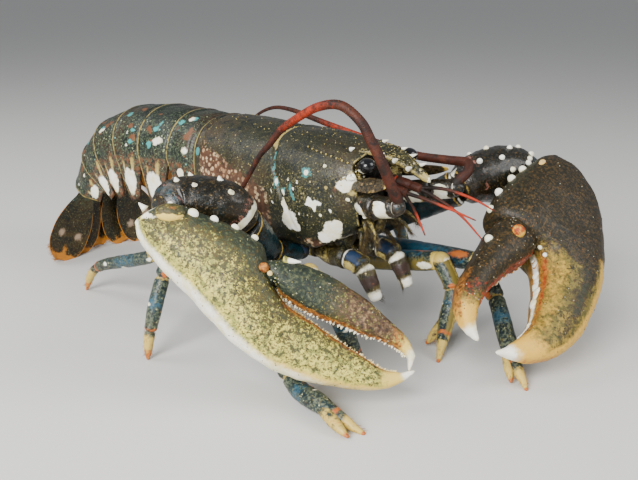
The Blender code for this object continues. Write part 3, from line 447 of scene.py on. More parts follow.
fanLook = dict(
    shellLook, ground=tones((0.30, 22, 18, 10), (0.48, 42, 33, 16), (0.62, 66, 50, 22), (0.75, 28, 35, 24)),
    layers=(("cool", 0.40, 0.62, 0.9, linear(66, 74, 56)), ("gold", 0.38, 0.66, 0.9, linear(196, 124, 34)),
            ("pale", 0.34, 0.74, 0.8, linear(176, 150, 124))), rough=(0.34, 0.58), coat=0.06)
mouthLook = dict(
    shellLook, ground=tones((0.30, 26, 22, 11), (0.48, 50, 42, 20), (0.62, 80, 66, 30), (0.75, 32, 40, 30)),
    layers=(("cool", 0.38, 0.68, 1.3, linear(24, 44, 70)), ("dark", 0.40, 0.70, 1.2, linear(50, 34, 28)),
            ("warm", 0.40, 0.64, 0.9, linear(156, 88, 34)), ("gold", 0.36, 0.72, 1.2, linear(188, 168, 92)),
            ("pale", 0.32, 0.78, 0.7, ivory)), coat=0.06)
shellFinish = wetShell("darkShell", shellLook)
tailFinish = wetShell("tailShell", tailLook)
armFinish = wetShell("armShell", armLook)
cutterFinish = wetShell("cutterShell", cutterLook)
crusherFinish = wetShell("crusherShell", crusherLook)
legFinish = wetShell("legShell", legLook)
feelerFinish = wetShell("feelerShell", feelerLook)
fanFinish = wetShell("fanShell", fanLook)
mouthFinish = wetShell("mouthShell", mouthLook)


def hairFinish(name, root, tip):
    made, tree, shader = newFinish(name)
    coordinates = tree.nodes.new("ShaderNodeTexCoord")
    cloud = tree.nodes.new("ShaderNodeTexNoise")
    cloud.inputs["Scale"].default_value = 600.0
    ramp = tree.nodes.new("ShaderNodeValToRGB")
    for point, place, colour in zip(ramp.color_ramp.elements, (0.35, 0.65), (root, tip)):
        point.position = place
        point.color = colour
    tree.links.new(coordinates.outputs["Object"], cloud.inputs["Vector"])
    tree.links.new(cloud.outputs["Fac"], ramp.inputs["Fac"])
    tree.links.new(ramp.outputs["Color"], shader.inputs["Base Color"])
    shader.inputs["Roughness"].default_value = 0.55
    return made


fringeFinish = hairFinish("fringeHair", linear(150, 92, 36), linear(216, 160, 78))
bristleFinish = hairFinish("legHair", linear(132, 76, 34), linear(204, 148, 84))
mouthHair = hairFinish("mouthHair", linear(34, 27, 12), linear(104, 84, 42))


def eyeFinish():
    made, tree, shader = newFinish("eyeBlack")
    coordinates = tree.nodes.new("ShaderNodeTexCoord")
    facets = tree.nodes.new("ShaderNodeTexVoronoi")
    facets.inputs["Scale"].default_value = 6500.0
    ramp = tree.nodes.new("ShaderNodeValToRGB")
    ramp.color_ramp.elements[0].color = linear(4, 4, 6)
    ramp.color_ramp.elements[1].color = linear(16, 15, 18)
    bump = tree.nodes.new("ShaderNodeBump")
    dial(bump, {"Strength": 0.05, "Distance": 0.0001})
    tree.links.new(coordinates.outputs["Object"], facets.inputs["Vector"])
    tree.links.new(facets.outputs["Distance"], ramp.inputs["Fac"])
    tree.links.new(ramp.outputs["Color"], shader.inputs["Base Color"])
    tree.links.new(facets.outputs["Distance"], bump.inputs["Height"])
    tree.links.new(bump.outputs["Normal"], shader.inputs["Normal"])
    dial(shader, {"Roughness": 0.22, "Specular IOR Level": 0.35, "Coat Weight": 0.35, "Coat Roughness": 0.12})
    return made


eyeBlack = eyeFinish()
print("finishes made")
# back shell: place, half width, top, height of the widest part, underside, lean of the section;
# face: amount of the relief, place across and its width, height and its width
carapace = {
    "sections": (
        (0.0000, 0.0265, 0.1130, 0.087, 0.0560, 0.05), (0.0040, 0.0285, 0.1142, 0.086, 0.0545, 0.06),
        (0.0160, 0.0308, 0.1148, 0.084, 0.0540, 0.10), (0.0320, 0.0318, 0.1148, 0.083, 0.0540, 0.20),
        (0.0480, 0.0316, 0.1140, 0.083, 0.0540, 0.36), (0.0570, 0.0312, 0.1135, 0.083, 0.0540, 0.48),
        (0.0640, 0.0310, 0.1134, 0.084, 0.0540, 0.46), (0.0760, 0.0308, 0.1136, 0.085, 0.0545, 0.34),
        (0.0900, 0.0292, 0.1130, 0.086, 0.0570, 0.20), (0.1020, 0.0262, 0.1122, 0.088, 0.0600, 0.10),
        (0.1120, 0.0228, 0.1108, 0.089, 0.0650, 0.03), (0.1180, 0.0202, 0.1095, 0.090, 0.0690, 0.00)),
    "rows": 200, "columns": 150, "round": 2.2, "square": 2.7, "underDepth": 0.012, "front": 0.118,
    "grooveAt": 0.0604, "grooveDepth": 0.0012, "grooveWidth": 0.0014,
    "lip": 0.84, "lipThick": 0.0011, "hollow": 0.1152, "orbit": (0.0182, 0.1015), "orbitDeep": 0.0040,
    "orbitWide": 0.0060, "granules": 620, "faceGrains": 150,
    "face": ((0.0020, 0.0150, 0.0050, 0.0930, 0.0050), (-0.0022, 0.0155, 0.0042, 0.1025, 0.0038),
             (0.0014, 0.0, 0.0065, 0.0800, 0.0040), (-0.0034, 0.0, 0.0105, 0.0665, 0.0065)),
    "spines": (((0.1142, 0.0206, 0.0945), (1, 0.25, 0.1), 0.0052, 0.0018, {"gold": 0.6}),
               ((0.1100, 0.0140, 0.1080), (1, 0.2, 0.45), 0.0036, 0.0013, {}),
               ((0.1010, 0.0240, 0.0995), (1, 0.6, 0.3), 0.0026, 0.0012, {}),
               ((0.1140, 0.0212, 0.0835), (1, 0.5, -0.1), 0.0030, 0.0013, {})),
}
# marks of the right side: x, z, half length, half height; the left side has its own, drawn at random
whiteMarks = (
    (0.0817, 0.0686, 0.0054, 0.0056), (0.0788, 0.0752, 0.0014, 0.0038), (0.0772, 0.0778, 0.0013, 0.0022),
    (0.0855, 0.0655, 0.0030, 0.0030), (0.1056, 0.0652, 0.0040, 0.0056), (0.1012, 0.0612, 0.0030, 0.0034),
    (0.1086, 0.0688, 0.0026, 0.0034), (0.0966, 0.0793, 0.0042, 0.0015), (0.0946, 0.0812, 0.0013, 0.0018),
    (0.0992, 0.0812, 0.0019, 0.0013), (0.0978, 0.0772, 0.0010, 0.0017), (0.1126, 0.0903, 0.0040, 0.0034),
    (0.1160, 0.0934, 0.0040, 0.0032), (0.1059, 0.0767, 0.0010, 0.0010), (0.0718, 0.0879, 0.0009, 0.0021),
    (0.0776, 0.0834, 0.0011, 0.0016), (0.0782, 0.0785, 0.0012, 0.0013), (0.0916, 0.0954, 0.0015, 0.0014),
    (0.0700, 0.0770, 0.0008, 0.0012), (0.0745, 0.0805, 0.0008, 0.0009), (0.0690, 0.0835, 0.0007, 0.0012),
    (0.0885, 0.0742, 0.0008, 0.0009), (0.1010, 0.0740, 0.0008, 0.0008), (0.1065, 0.0838, 0.0007, 0.0008),
    (0.0845, 0.0862, 0.0008, 0.0012), (0.0868, 0.0900, 0.0007, 0.0008), (0.0806, 0.0905, 0.0006, 0.0010),
)
blueMarks = ((0.0916, 0.0954, 0.0032, 0.0029), (0.0827, 0.0864, 0.0014, 0.0026),
             (0.0674, 0.1008, 0.0012, 0.0030),
             (0.0690, 0.0952, 0.0011, 0.0028), (0.0718, 0.0879, 0.0020, 0.0032),
             (0.0776, 0.0834, 0.0022, 0.0026),
             (0.0062, 0.0959, 0.0018, 0.0024), (0.0850, 0.0810, 0.0010, 0.0016))
goldMarks = ((0.1126, 0.0905, 0.0058, 0.0046), (0.1036, 0.0889, 0.0014, 0.0013),
             (0.0650, 0.1050, 0.0016, 0.0028),
             (0.0940, 0.0790, 0.0016, 0.0012), (0.1000, 0.0707, 0.0010, 0.0010),
             (0.0005, 0.0985, 0.0018, 0.0020),
             (0.0872, 0.0660, 0.0018, 0.0012), (0.1165, 0.0965, 0.0036, 0.0040),
             (0.1165, 0.0880, 0.0030, 0.0030))


# relief of the face behind the eyes and jaws, as a place forward
def facePlace(across, height):
    wide = abs(across)
    place = carapace["hollow"]
    for amount, out, broad, high, tall in carapace["face"]:
        place += amount * hump(wide, out, broad) * hump(height, high, tall)
    return place + noise.noise(Vector((0.0, across, height)) / 0.0022) * 0.0004


def markStrength(point, marks):
    best = 0.0
    for x, z, halfLong, halfHigh in marks:
        away = math.hypot((point.x - x) / halfLong, (point.z - z) / halfHigh)
        best = max(best, 1.0 - 0.5 * away)
    return best


def shellPlace(v, u):
    look = carapace
    rim = shellPoint(look["front"], u)
    wide, high = look["orbit"]
    near = math.hypot(abs(rim.y) - wide, rim.z - high) / look["orbitWide"]
    front = look["front"] - look["orbitDeep"] * math.exp(-near * near)
    if v <= look["lip"]:
        return shellPoint(front * v / look["lip"], u)
    part = (v - look["lip"]) / (1 - look["lip"])
    rim = shellPoint(front, u)
    inward = Vector((0, -rim.y, 0.0885 - rim.z)).normalized()
    turn = min(part / 0.2, 1.0) * math.pi / 2
    thick = look["lipThick"]
    point = rim + inward * thick * (1 - math.cos(turn)) + Vector((thick * math.sin(turn), 0, 0))
    close = 1 - max(part - 0.2, 0.0) / 0.8 * 0.995
    across, height = rim.y * close, 0.0885 + (rim.z - 0.0885) * close
    deep = step(part, 0.2, 0.36)
    return point.lerp(Vector((min(facePlace(across, height), front + 0.0005), across, height)), deep)


def tableAtX(table, x):
    for index in range(len(table) - 1):
        if x <= table[index + 1][0]:
            return index + (x - table[index][0]) / (table[index + 1][0] - table[index][0])
    return float(len(table) - 1)


def shellPoint(x, u):
    look = carapace
    _, half, top, widest, under, lean = sample(look["sections"], tableAtX(look["sections"], x))
    angle = 2 * math.pi * u
    across = half * bulge(math.cos(angle), look["round"])
    if math.sin(angle) > 0:
        height = widest + (top - widest) * bulge(math.sin(angle), look["round"])
    else:
        height = widest + (widest - under + look["underDepth"]) * bulge(math.sin(angle), look["square"])
    height = max(height, under)
    point = Vector((x + lean * (top - height), across, height))
    inward = Vector((0, -across, 0.083 - height)).normalized()
    crest = step(height, 0.060, 0.075)
    dip = look["grooveDepth"] * hump(x, look["grooveAt"], look["grooveWidth"]) * crest
    dip += 0.0005 * hump(x, 0.0062, 0.0012) - 0.0005 * hump(x, 0.0025,
                                                            0.0022) - 0.0003 * hump(x, 0.0655, 0.0022)
    ridge = 0.0009 * hump(across, 0.0, 0.0012) * step(x, 0.070, 0.100) if height > 0.1 else 0.0
    dip += 0.0004 * hump(across, 0.0, 0.0006) * (1 - step(x, 0.056, 0.062)) if height > 0.1 else 0.0
    side = step(height, 0.058, 0.066)
    lumps = (jitter(point, 0.016, 0.0006) + jitter(point, 0.006, 0.00022)
             + jitter(point, 0.0022, 0.00010)) * side
    return point + inward * (dip - lumps) + Vector((0, 0, ridge))


def carapacePaint(sideMarks):
    def paint(v, u, point):
        front = carapace["front"]
        x = front * v / carapace["lip"]
        white, blue, gilt = sideMarks[0 if point.y < 0 else 1]
        if x > front:
            part = (v - carapace["lip"]) / (1 - carapace["lip"])
            cheek = hump(abs(point.y), 0.0160, 0.0065) * hump(point.z, 0.0935, 0.0075)
            return {"dark": 0.75 * step(part, 0.25, 0.5) * (1 - cheek),
                    "gold": max(0.50 * (1 - step(part, 0.1, 0.3)), 0.66 * cheek),
                    "dots": 0.3 + 0.8 * cheek, "pale": markStrength(point, white) if part < 0.3 else 0.0}
        pale = cool = gold = 0.0
        if point.z > 0.0545:
            pale = markStrength(point, white)
            cool = markStrength(point, blue)
            gold = markStrength(point, gilt) * 0.80
        groove = hump(x, carapace["grooveAt"], 0.0015)
        crest = step(point.z, 0.100, 0.107)
        gold = max(gold, groove * crest * 0.72, hump(x, 0.0012, 0.0016) * 0.70,
                   hump(x, 0.0080, 0.0010) * 0.50)
        gold = max(gold, 0.42 * hump(x, 0.117, 0.0012))
        if point.z > 0.1:
            gold = max(gold, hump(point.y, 0.0, 0.0009) * step(x, 0.060, 0.075) * 0.66)
        cool = max(cool, groove * (1 - crest) * step(point.z, 0.062, 0.07) * 0.50)
        band = point.z - (0.0905 - (point.x - 0.0117) * 0.34)
        warm = 0.80 * math.exp(-(band / 0.0120) ** 4) * step(point.x, 0.004, 0.012)
        warm *= 1 - step(point.x, 0.062, 0.074)
        warm = max(warm, 0.7 * hump(point.x, 0.094, 0.010) * hump(point.z, 0.0575, 0.0040))
        tip = 0.8 * hump(point.x, 0.1080, 0.0018) * hump(point.z, 0.0888, 0.0018) * (point.y < 0)
        dots = 0.30 + 0.75 * hump(point.x, 0.080, 0.022) * hump(point.z, 0.083, 0.013)
        dots -= 0.25 * step(point.z, 0.1, 0.11)
        dots += 0.6 * hump(point.x, 0.116, 0.008) * hump(point.z, 0.094, 0.008)
        return {"pale": max(pale, 0.0), "cool": cool, "gold": gold, "warm": max(warm, tip), "dots": dots}
    return paint


def makeCarapace():
    draw = random.Random(5)

    def shuffled(marks):
        return [(x + draw.uniform(-0.006, 0.006), z + draw.uniform(-0.005, 0.005), a * draw.uniform(0.7, 1.2),
                 b * draw.uniform(0.7, 1.2)) for x, z, a, b in marks]
    form = newForm()
    paint = carapacePaint(((whiteMarks, blueMarks, goldMarks),
                           tuple(shuffled(m) for m in (whiteMarks, blueMarks, goldMarks))))
    wrap(form, carapace["rows"], carapace["columns"], shellPlace, paint)
    white = {"pale": 1.0}
    for side in (-1, 1):
        for spot, way, long, radius, values in carapace["spines"]:
            spine(form, mirrored(spot, side), mirrored(way, side), long, radius, values, white)
        for index in range(9):
            share = index / 8
            root = shellPoint(0.084 + 0.028 * share, 0.25 - side * (0.110 + 0.045 * share))
            spine(form, root, (0.9, side * 0.6, 0.5), 0.0013 + 0.0005 * draw.random(), 0.0007, {},
                  {"gold": 0.9}, sides=6, rows=4)
        for _ in range(carapace["faceGrains"]):
            across = side * draw.uniform(0.0095, 0.0200)
            height = draw.uniform(0.0860, 0.1000)
            size = draw.uniform(0.00025, 0.00050)
            granule(form, (facePlace(across, height), across, height), size,
                    {"gold": draw.choice((0.3, 0.7, 1.0)), "pale": draw.choice((0.0, 0.0, 0.5)),
                     "dots": 0.8}, (1, 0, 0))
    for _ in range(carapace["granules"]):
        x = carapace["front"] * draw.random() ** 0.8
        u = draw.uniform(0.0, 0.5)
        spot = shellPoint(min(x, 0.1165), u)
        size = draw.uniform(0.00018, 0.00042)
        granule(form, spot, size, {"gold": draw.choice((0.0, 0.5, 0.9)), "dots": 0.5})
    return finishPiece("carapace", form, ("carapace_back", "carapace_head"), shellFinish)


# rostrum: share of its length, half width, height, thickness
rostrum = {
    "base": 0.1140, "reach": 0.0363, "tip": (0.1503, 0.0, 0.0940),
    "sections": ((0.0, 0.0125, 0.1066, 0.0026), (0.12, 0.0107, 0.1066, 0.0032),
                 (0.33, 0.0082, 0.1055, 0.0034),
                 (0.60, 0.0056, 0.1018, 0.0031), (0.84, 0.0032, 0.0972, 0.0023),
                 (0.95, 0.0018, 0.0951, 0.0014)),
    "spines": ((0.30, 0.0080, 0.1062), (0.50, 0.0062, 0.1038), (0.70, 0.0044, 0.1003)), "granules": 260,
}


def makeRostrum():
    look = rostrum
    form = newForm()
    draw = random.Random(6)

    def place(v, u):
        share = min(v * 0.97, 0.95)
        _, half, height, thick = sample(look["sections"], tableAtX(look["sections"], share))
        close = 1.0 if v < 0.94 else math.sqrt(max(1 - ((v - 0.94) / 0.06) ** 2, 0.0))
        angle = 2 * math.pi * u
        across = half * math.cos(angle) * close
        rise = thick * bulge(math.sin(angle), 1.7) * close
        if math.sin(angle) > 0:
            rise += 0.0006 * hump(across, 0, 0.0008) - 0.0012 * hump(abs(across), half * 0.48, half * 0.28)
            rise += 0.0008 * hump(abs(across), half * 0.88, half * 0.16)
        if v == 1.0:
            return Vector(look["tip"])
        point = Vector((look["base"] + look["reach"] * v, across, height + rise))
        return point + Vector((0, 0, jitter(point, 0.0016, 0.00022)))

    def paint(v, u, point):
        edge = hump(abs(math.cos(2 * math.pi * u)), 1.0, 0.10)
        return {"gold": 0.36 + 0.18 * edge + 0.8 * step(v, 0.86, 0.95), "dots": 0.9, "warm": 0.0,
                "pale": step(v, 0.95, 1.0) * 1.2 + 0.5 * hump(math.sin(2 * math.pi * u), 1.0, 0.02) * (1 - v)}
    wrap(form, 60, 48, place, paint)
    for side in (-1, 1):
        for share, half, height in look["spines"]:
            root = Vector((look["base"] + look["reach"] * share, side * half, height))
            spine(form, root, (1.0, side * 0.55, 0.45), 0.0050, 0.0015, {"gold": 0.5}, {"pale": 1.0},
                  sides=10, rows=8)
    for _ in range(look["granules"]):
        v = draw.uniform(0.02, 0.86)
        spot = place(v, draw.uniform(0.02, 0.48))
        size = draw.uniform(0.00022, 0.00042)
        granule(form, spot, size, {"gold": draw.choice((0.2, 0.6, 1.0)), "pale": 0.3})
    return finishPiece("rostrum", form, ("rostrum",), shellFinish)


def makeEyes():
    for side, name in ((-1, "right"), (1, "left")):
        form = newForm()
        centre = Vector((0.1240, side * 0.0182, 0.1020))
        bmesh.ops.create_uvsphere(form, u_segments=48, v_segments=32, radius=0.0047,
                                  matrix=Matrix.Translation(centre) @ Matrix.Diagonal((1.0, 1.0, 0.84, 1.0)))
        finishPiece("eye_ball_" + name, form, ("eye_" + name,), eyeBlack)
        form = newForm()
        root = Vector((0.1120, side * 0.0095, 0.0975))
        stalk = (root, root.lerp(centre, 0.40), root.lerp(centre, 0.66), root.lerp(centre, 0.84))

        def paint(v, u, point, high=centre.z):
            return {"gold": 0.40 * step(v, 0.35, 0.7), "dots": 0.6, "dark": 0.9 * step(v, 0.55, 0.75),
                    "pale": 0.55 * step(v, 0.50, 0.70) * step(high - point.z, 0.0010, 0.0030)}
        tube(form, stalk, profile((0.0038, 0.0036, 0.0038, 0.0042, 0.0036)), 20, 24, paint, 0.86)
        finishPiece("eye_stalk_" + name, form, (), shellFinish)


print("head made")
makeCarapace()
makeRostrum()
makeEyes()
# tail: length of each ring along its crest, slope below level, half width, pleuron depth
tail = {
    "rings": ((0.0200, -3.0, 0.0262, 0.041), (0.0285, -1.0, 0.0285, 0.057), (0.0295, 6.0, 0.0288, 0.057),
              (0.0295, 20.0, 0.0284, 0.055), (0.0285, 40.0, 0.0272, 0.052), (0.0295, 60.0, 0.0240, 0.041)),
    "root": 0.1128, "telsonSlope": 80.0, "sideDrop": 0.026, "belly": 0.030, "rows": 36, "columns": 112,
}


def axesAt(slope):
    turn = math.radians(slope)
    return (Vector((-math.cos(turn), 0.0, -math.sin(turn))), Vector((math.sin(turn), 0.0, -math.cos(turn))))


def tailPlanes():
    crest = Vector((0.0, 0.0, tail["root"]))
    slopes = [ring[1] for ring in tail["rings"]] + [tail["telsonSlope"]]
    planes = [(crest.copy(), 0.0)]
    for index, (length, slope, _, _) in enumerate(tail["rings"]):
        crest = crest + axesAt(slope)[0] * length
        planes.append((crest.copy(), (slope + slopes[index + 1]) / 2))
    return planes


# outline of a ring over the crest: w from -1 to 1 gives across, drop and the share of the side plate
def ringSpot(w, half, depth):
    side = math.copysign(1.0, w)
    part = abs(w)
    if part < 0.62:
        angle = math.radians(90 * (1 - part / 0.62))
        drop = tail["sideDrop"] * (1 - bulge(math.sin(angle), 2.2))
        return side * half * bulge(math.cos(angle), 2.3), drop, 0.0
    share = (part - 0.62) / 0.38
    drop = tail["sideDrop"] + (depth - tail["sideDrop"]) * share
    return side * (half - 0.0016 * share * share), drop, share


def ringPaint(draw, number):
    spots = []
    for side in (-1, 1):
        for kind, count in (("cool", 3), ("warm", 4), ("pale", 2)):
            for _ in range(count):
                spots.append((kind, side * draw.uniform(0.14, 0.58), draw.uniform(0.30, 0.88),
                              draw.uniform(0.018, 0.042)))
    lean = draw.uniform(-0.04, 0.04)
    prongs = ((0.30 + lean, 0.085, 0.54 + draw.uniform(0.0, 0.05)),
              (0.72 + lean, 0.065, 0.60 + draw.uniform(0.0, 0.06)))
    middle, high, wide = (0.85, 0.090, 0.33) if number else (0.80, 0.065, 0.14)

    def paint(v, u, point):
        if u > 0.5:
            return {"warm": 0.5}
        w = 4 * u - 1
        low = abs(w)
        found = {"pale": 0.0, "cool": 0.0, "warm": 0.0}
        ragged = 0.12 * noise.noise(point / 0.0022)
        away = math.hypot((low - middle) / high, (v - 0.50 - lean) / wide)
        found["pale"] = 1.10 - 0.5 * away ** 1.5 + ragged
        gold = max(0.62 * step(v, 0.93, 0.98), 0.42 * hump(v, 0.22, 0.025) * (1 - step(low, 0.6, 0.7)))
        warm = 0.46 * step(low, 0.50, 0.66)
        for place, half, start in prongs:
            if number and low < middle:
                rise = max(1.0 - 0.5 * (abs(v - place) / half) ** 1.5, 0.0)
                rise = rise * step(low, start, start + 0.12) + ragged
                found["pale"] = max(found["pale"], 0.47 * rise)
                gold = max(gold, 0.80 * rise)
                edge = max(1.0 - 0.5 * (abs(v - place) / (half * 1.9)) ** 1.5, 0.0)
                edge *= step(low, start - 0.04, start + 0.08)
                warm = max(warm, 0.60 * edge)
        for kind, spotW, spotV, size in spots:
            away = math.hypot((w - spotW) / size, (v - spotV) / (size * 3.6))
            found[kind] = max(found[kind], 0.92 - 0.5 * away + ragged)
        return {"pale": max(found["pale"], 0.0), "gold": gold,
                "cool": max(found["cool"], 0.36 * hump(v, 0.90, 0.03), 0.0),
                "warm": max(found["warm"], warm), "dots": 0.10 + 0.55 * step(low, 0.12, 0.40)}
    return paint


def makeTailRing(number, front, back, half, nextHalf, depth):
    form = newForm()
    look = tail
    narrow = depth < 0.045

    def place(v, u):
        outer = u <= 0.5
        w = 4 * u - 1 if outer else 3 - 4 * u
        ends = []
        for plane, wide, scale in ((front, half, 0.985), (back, (half + nextHalf) / 2, 1.0)):
            crest, slope = plane
            _, down = axesAt(slope)
            across, drop, share = ringSpot(w, wide * scale, depth)
            if not outer:
                across = math.copysign(max(abs(across) - 0.0030 * (1 - 0.5 * share), 0.0), across)
                if share == 0.0:
                    drop = max(drop, look["belly"] * (1 - 0.15 * abs(w)))
            ends.append(crest + Vector((0, across, 0)) + down * drop)
        low = (0.20 if narrow else 0.34) * share
        high = 1.0 - 0.18 * share
        point = ends[0].lerp(ends[1], low + (high - low) * v)
        if outer:
            away = Vector((0, point.y, (point.z - front[0].z + 0.03))).normalized()
            body = 1 - share
            lift = 0.0009 * math.sin(math.pi * v) - 0.0011 * (1 - step(v, 0.10, 0.20)) * body
            lift -= 0.0006 * hump(v, 0.22, 0.035) * body
            lift += 0.0010 * step(v, 0.86, 0.96) * body
            lift += 0.0009 * share * math.sin(math.pi * v)
            lift += jitter(point, 0.008, 0.00022) + jitter(point, 0.0025, 0.00012)
            point = point + away * lift
            if v > 0.9:
                point = point + axesAt(back[1])[0] * 0.0012 * (v - 0.9) / 0.1 * body
        return point
    wrap(form, look["rows"], look["columns"], place, ringPaint(random.Random(40 + number), number))
    name = "abdomen_%d" % (number + 1)
    return finishPiece("tail_ring_%d" % (number + 1), form, (name,), tailFinish)


# small legs of the tail: half width, drop from the crest, place across, hairs on an edge, curl;
# leaves: number, lean outward, length
swimmeret = {"half": 0.0050, "drop": 0.0285, "apart": 0.0125, "hairs": 26, "curl": 0.003,
             "leaves": ((0, -0.25, 0.019), (1, 0.35, 0.0165))}


def makeSwimmerets(planes):
    look = swimmeret
    form = newForm()
    coat = newCoat()
    draw = random.Random(8)
    for number in range(1, 5):
        middle = (planes[number][0] + planes[number + 1][0]) / 2
        along, down = axesAt((planes[number][1] + planes[number + 1][1]) / 2)
        for side in (-1, 1):
            for leaf, lean, long in look["leaves"]:
                root = middle + down * look["drop"] + Vector((0, side * look["apart"], 0))
                root = root + along * 0.0012 * leaf
                run = (down + Vector((0, side * lean, 0)) * 0.5 + along * 0.3).normalized()
                across = Vector((0, 1, 0))

                def halfAt(v):
                    return look["half"] * math.sin(math.pi * (0.12 + 0.88 * v)) if v < 1 else 0.0

                def place(v, u, root=root, run=run, long=long):
                    angle = 2 * math.pi * u
                    return (root + run * long * v + across * halfAt(v) * math.cos(angle)
                            + along * (0.0007 * math.sin(angle) * (v < 1) + look["curl"] * v * v))
                wrap(form, 16, 18, place, lambda v, u, point: {"gold": 0.5 + 0.3 * v})
                for index in range(look["hairs"]):
                    v = 0.35 + 0.65 * index / (look["hairs"] - 1)
                    half = look["half"] * math.sin(math.pi * (0.12 + 0.88 * v)) * 0.95
                    for edge in (-1, 1):
                        spot = root + run * long * v + across * edge * half + along * look["curl"] * v * v
                        way = run * (0.5 + v) + across * edge * (1.2 - v)
                        way = way + Vector((draw.uniform(-0.2, 0.2), 0, 0))
                        hair(coat, spot, way, 0.0030 + 0.0010 * draw.random(), 0.00016,
                             (0.1 * number + 0.02 * leaf, v * 0.9))
    finishPiece("swimmerets", form, (), fanFinish)
    finishPiece("swimmeret_fringe", coat, (), fringeFinish)


planes = tailPlanes()
for number, (_, _, half, depth) in enumerate(tail["rings"]):
    nextHalf = tail["rings"][min(number + 1, 5)][2]
    makeTailRing(number, planes[number], planes[number + 1], half, nextHalf, depth)
makeSwimmerets(planes)
print("tail rings made")
# tail fan leaves: length, half width, thickness at the root
fan = {"telson": (0.0562, 0.0140, 0.0040), "inner": (0.0516, 0.0160, 0.0030),
       "outer": (0.0512, 0.0165, 0.0030),
       "rows": 56, "columns": 60, "curl": 0.004, "ridge": 0.0009, "fringe": 0.0042}


def makeLeaf(name, node, root, along, side, face, size, coat, lane):
    length, half, thick = size
    form = newForm()
    draw = random.Random(lane + 70)
    patch = 1.0 if "outer" in name else 0.4

    def widthAt(part):
        width = half * (0.34 + 0.66 * math.sin(min(part * 1.7, 1.0) * math.pi / 2))
        return width * math.sqrt(max(1.0 - max(part - 0.66, 0.0) ** 2 / 0.1225, 0.0))

    def spot(part, across, layer):
        edge = 1.0 - 0.75 * across * across
        body = thick * (1.0 - 0.55 * part) * max(edge, 0.12) / 2
        ridge = fan["ridge"] * hump(across, 0.0, 0.16) * (1 - part) if layer > 0 else 0.0
        ridge += 0.00035 * hump(abs(across), 0.42, 0.08) * (1 - part)
        rays = 0.00012 * math.cos(across * 60) * step(part, 0.55, 0.75)
        seam = -0.0006 * hump(part, 0.74, 0.012) if "outer" in name else 0.0
        centre = root + along * length * part + side * widthAt(part) * across
        centre = centre - face * (fan["curl"] * part * part + 0.0016 * across * across)
        point = centre + face * layer * (body + (ridge + rays + seam if layer > 0 else rays))
        point.z = max(point.z, 0.0)
        return point

    def place(v, u):
        part = v * 0.995
        angle = 2 * math.pi * u
        across = bulge(math.cos(angle), 3.2)
        layer = bulge(math.sin(angle), 3.2)
        if v == 1.0:
            layer = 0.0
        return spot(part, across, layer)

    def paint(v, u, point):
        across = abs(bulge(math.cos(2 * math.pi * u), 3.2))
        rim = step(v, 0.90, 0.96) + step(across, 0.95, 1.0) * step(v, 0.12, 0.35)
        pale = 0.75 * hump(v, 0.62, 0.09) * hump(across, 0.45, 0.28)
        return {"gold": rim + 0.42 * step(v, 0.70, 0.9) + 0.30 * hump(across, 0.0, 0.06),
                "pale": pale * patch, "cool": 0.55 * (1 - v), "dots": 0.5}
    wrap(form, fan["rows"], fan["columns"], place, paint)
    count = 190
    for index in range(count):
        turn = -1.15 + 2.3 * index / (count - 1)
        part = 0.66 + 0.345 * math.cos(turn) if abs(turn) < 1.3 else 0.6
        across = max(-1.0, min(1.0, math.sin(turn) / 0.985))
        part = min(part, 0.992)
        base = spot(part, across * 0.985, 0.0)
        way = along * (0.35 + math.cos(turn)) + side * math.sin(turn) + face * draw.uniform(-0.12, 0.12)
        long = fan["fringe"] * (0.7 + 0.5 * draw.random())
        if base.z + way.normalized().z * long < 0.0002:
            way.z = max(way.z, (0.0002 - base.z) / long)
            way = way + Vector((-0.35, 0, 0))
            way.z = max(way.z, 0.0)
        hair(coat, base, way, long, 0.00020, (0.03 + 0.94 * index / count, 0.1 + 0.2 * lane))
    return finishPiece(name, form, (node,), fanFinish)


def makeTailFan():
    crest, slope = planes[-1]
    along, down = axesAt(slope)
    run, inward = axesAt(tail["telsonSlope"])
    face = -inward
    sideways = Vector((0.0, 1.0, 0.0))
    coat = newCoat()
    makeLeaf("tail_fan_middle", "telson", crest - along * 0.0012 + down * 0.0046, run, sideways, face,
             fan["telson"], coat, 0)
    lane = 1
    for side, name in ((-1, "right"), (1, "left")):
        for kind, place, turn, layer, clear in (("inner", 0.0098, 13.0, 0.0105, 0.0030),
                                                ("outer", 0.0155, 27.0, 0.0160, 0.0050)):
            angle = math.radians(turn)
            leafRun = (run * math.cos(angle) + sideways * side * math.sin(angle)).normalized()
            leafSide = face.cross(leafRun).normalized()
            start = crest + along * (0.0003 + clear) + down * layer + sideways * side * place
            makeLeaf("tail_fan_%s_%s" % (kind, name), "uropod_%s_%s" % (kind, name), start, leafRun,
                     leafSide, face, fan[kind], coat, lane)
            lane += 1
    finishPiece("tail_fringe", coat, (), fringeFinish)
    form = newForm()
    for side in (-1, 1):
        stem = crest + sideways * side * 0.0120 + down * 0.0150
        tube(form, (stem - along * 0.006, stem + along * 0.001,
                    stem + along * 0.0075 + sideways * side * 0.003),
             profile((0.0060, 0.0068, 0.0050)), 14, 20, None, 0.62)
    finishPiece("tail_fan_stems", form, (), tailFinish)


makeTailFan()
print("tail fan made")
# half spheres on the claws are painted in their own halves: knuckle of the cutter, knob of the crusher, whose
# orange thins on one half to a painted yellow highlight
def knucklePaint(local):
    rough = 0.35 * noise.noise(local * 3.0)
    return {"dark": 1.0, "cool": 0.30 * step(local.y, -0.2, 0.4), "gold": step(-local.y + rough, 0.15, 0.60),
            "dots": 0.75 * hump(local.x + rough, 0.1, 0.30) * hump(local.y, 0.30, 0.30)}


def knobColourAndPaintedHighlight(local):
    # orange laid over gold, thinned towards +x so the gold shows there as a painted highlight
    return {"gold": 1.0, "warm": 0.66 - 0.4 * step(local.x, 0.3, 0.9), "dots": 0.4}


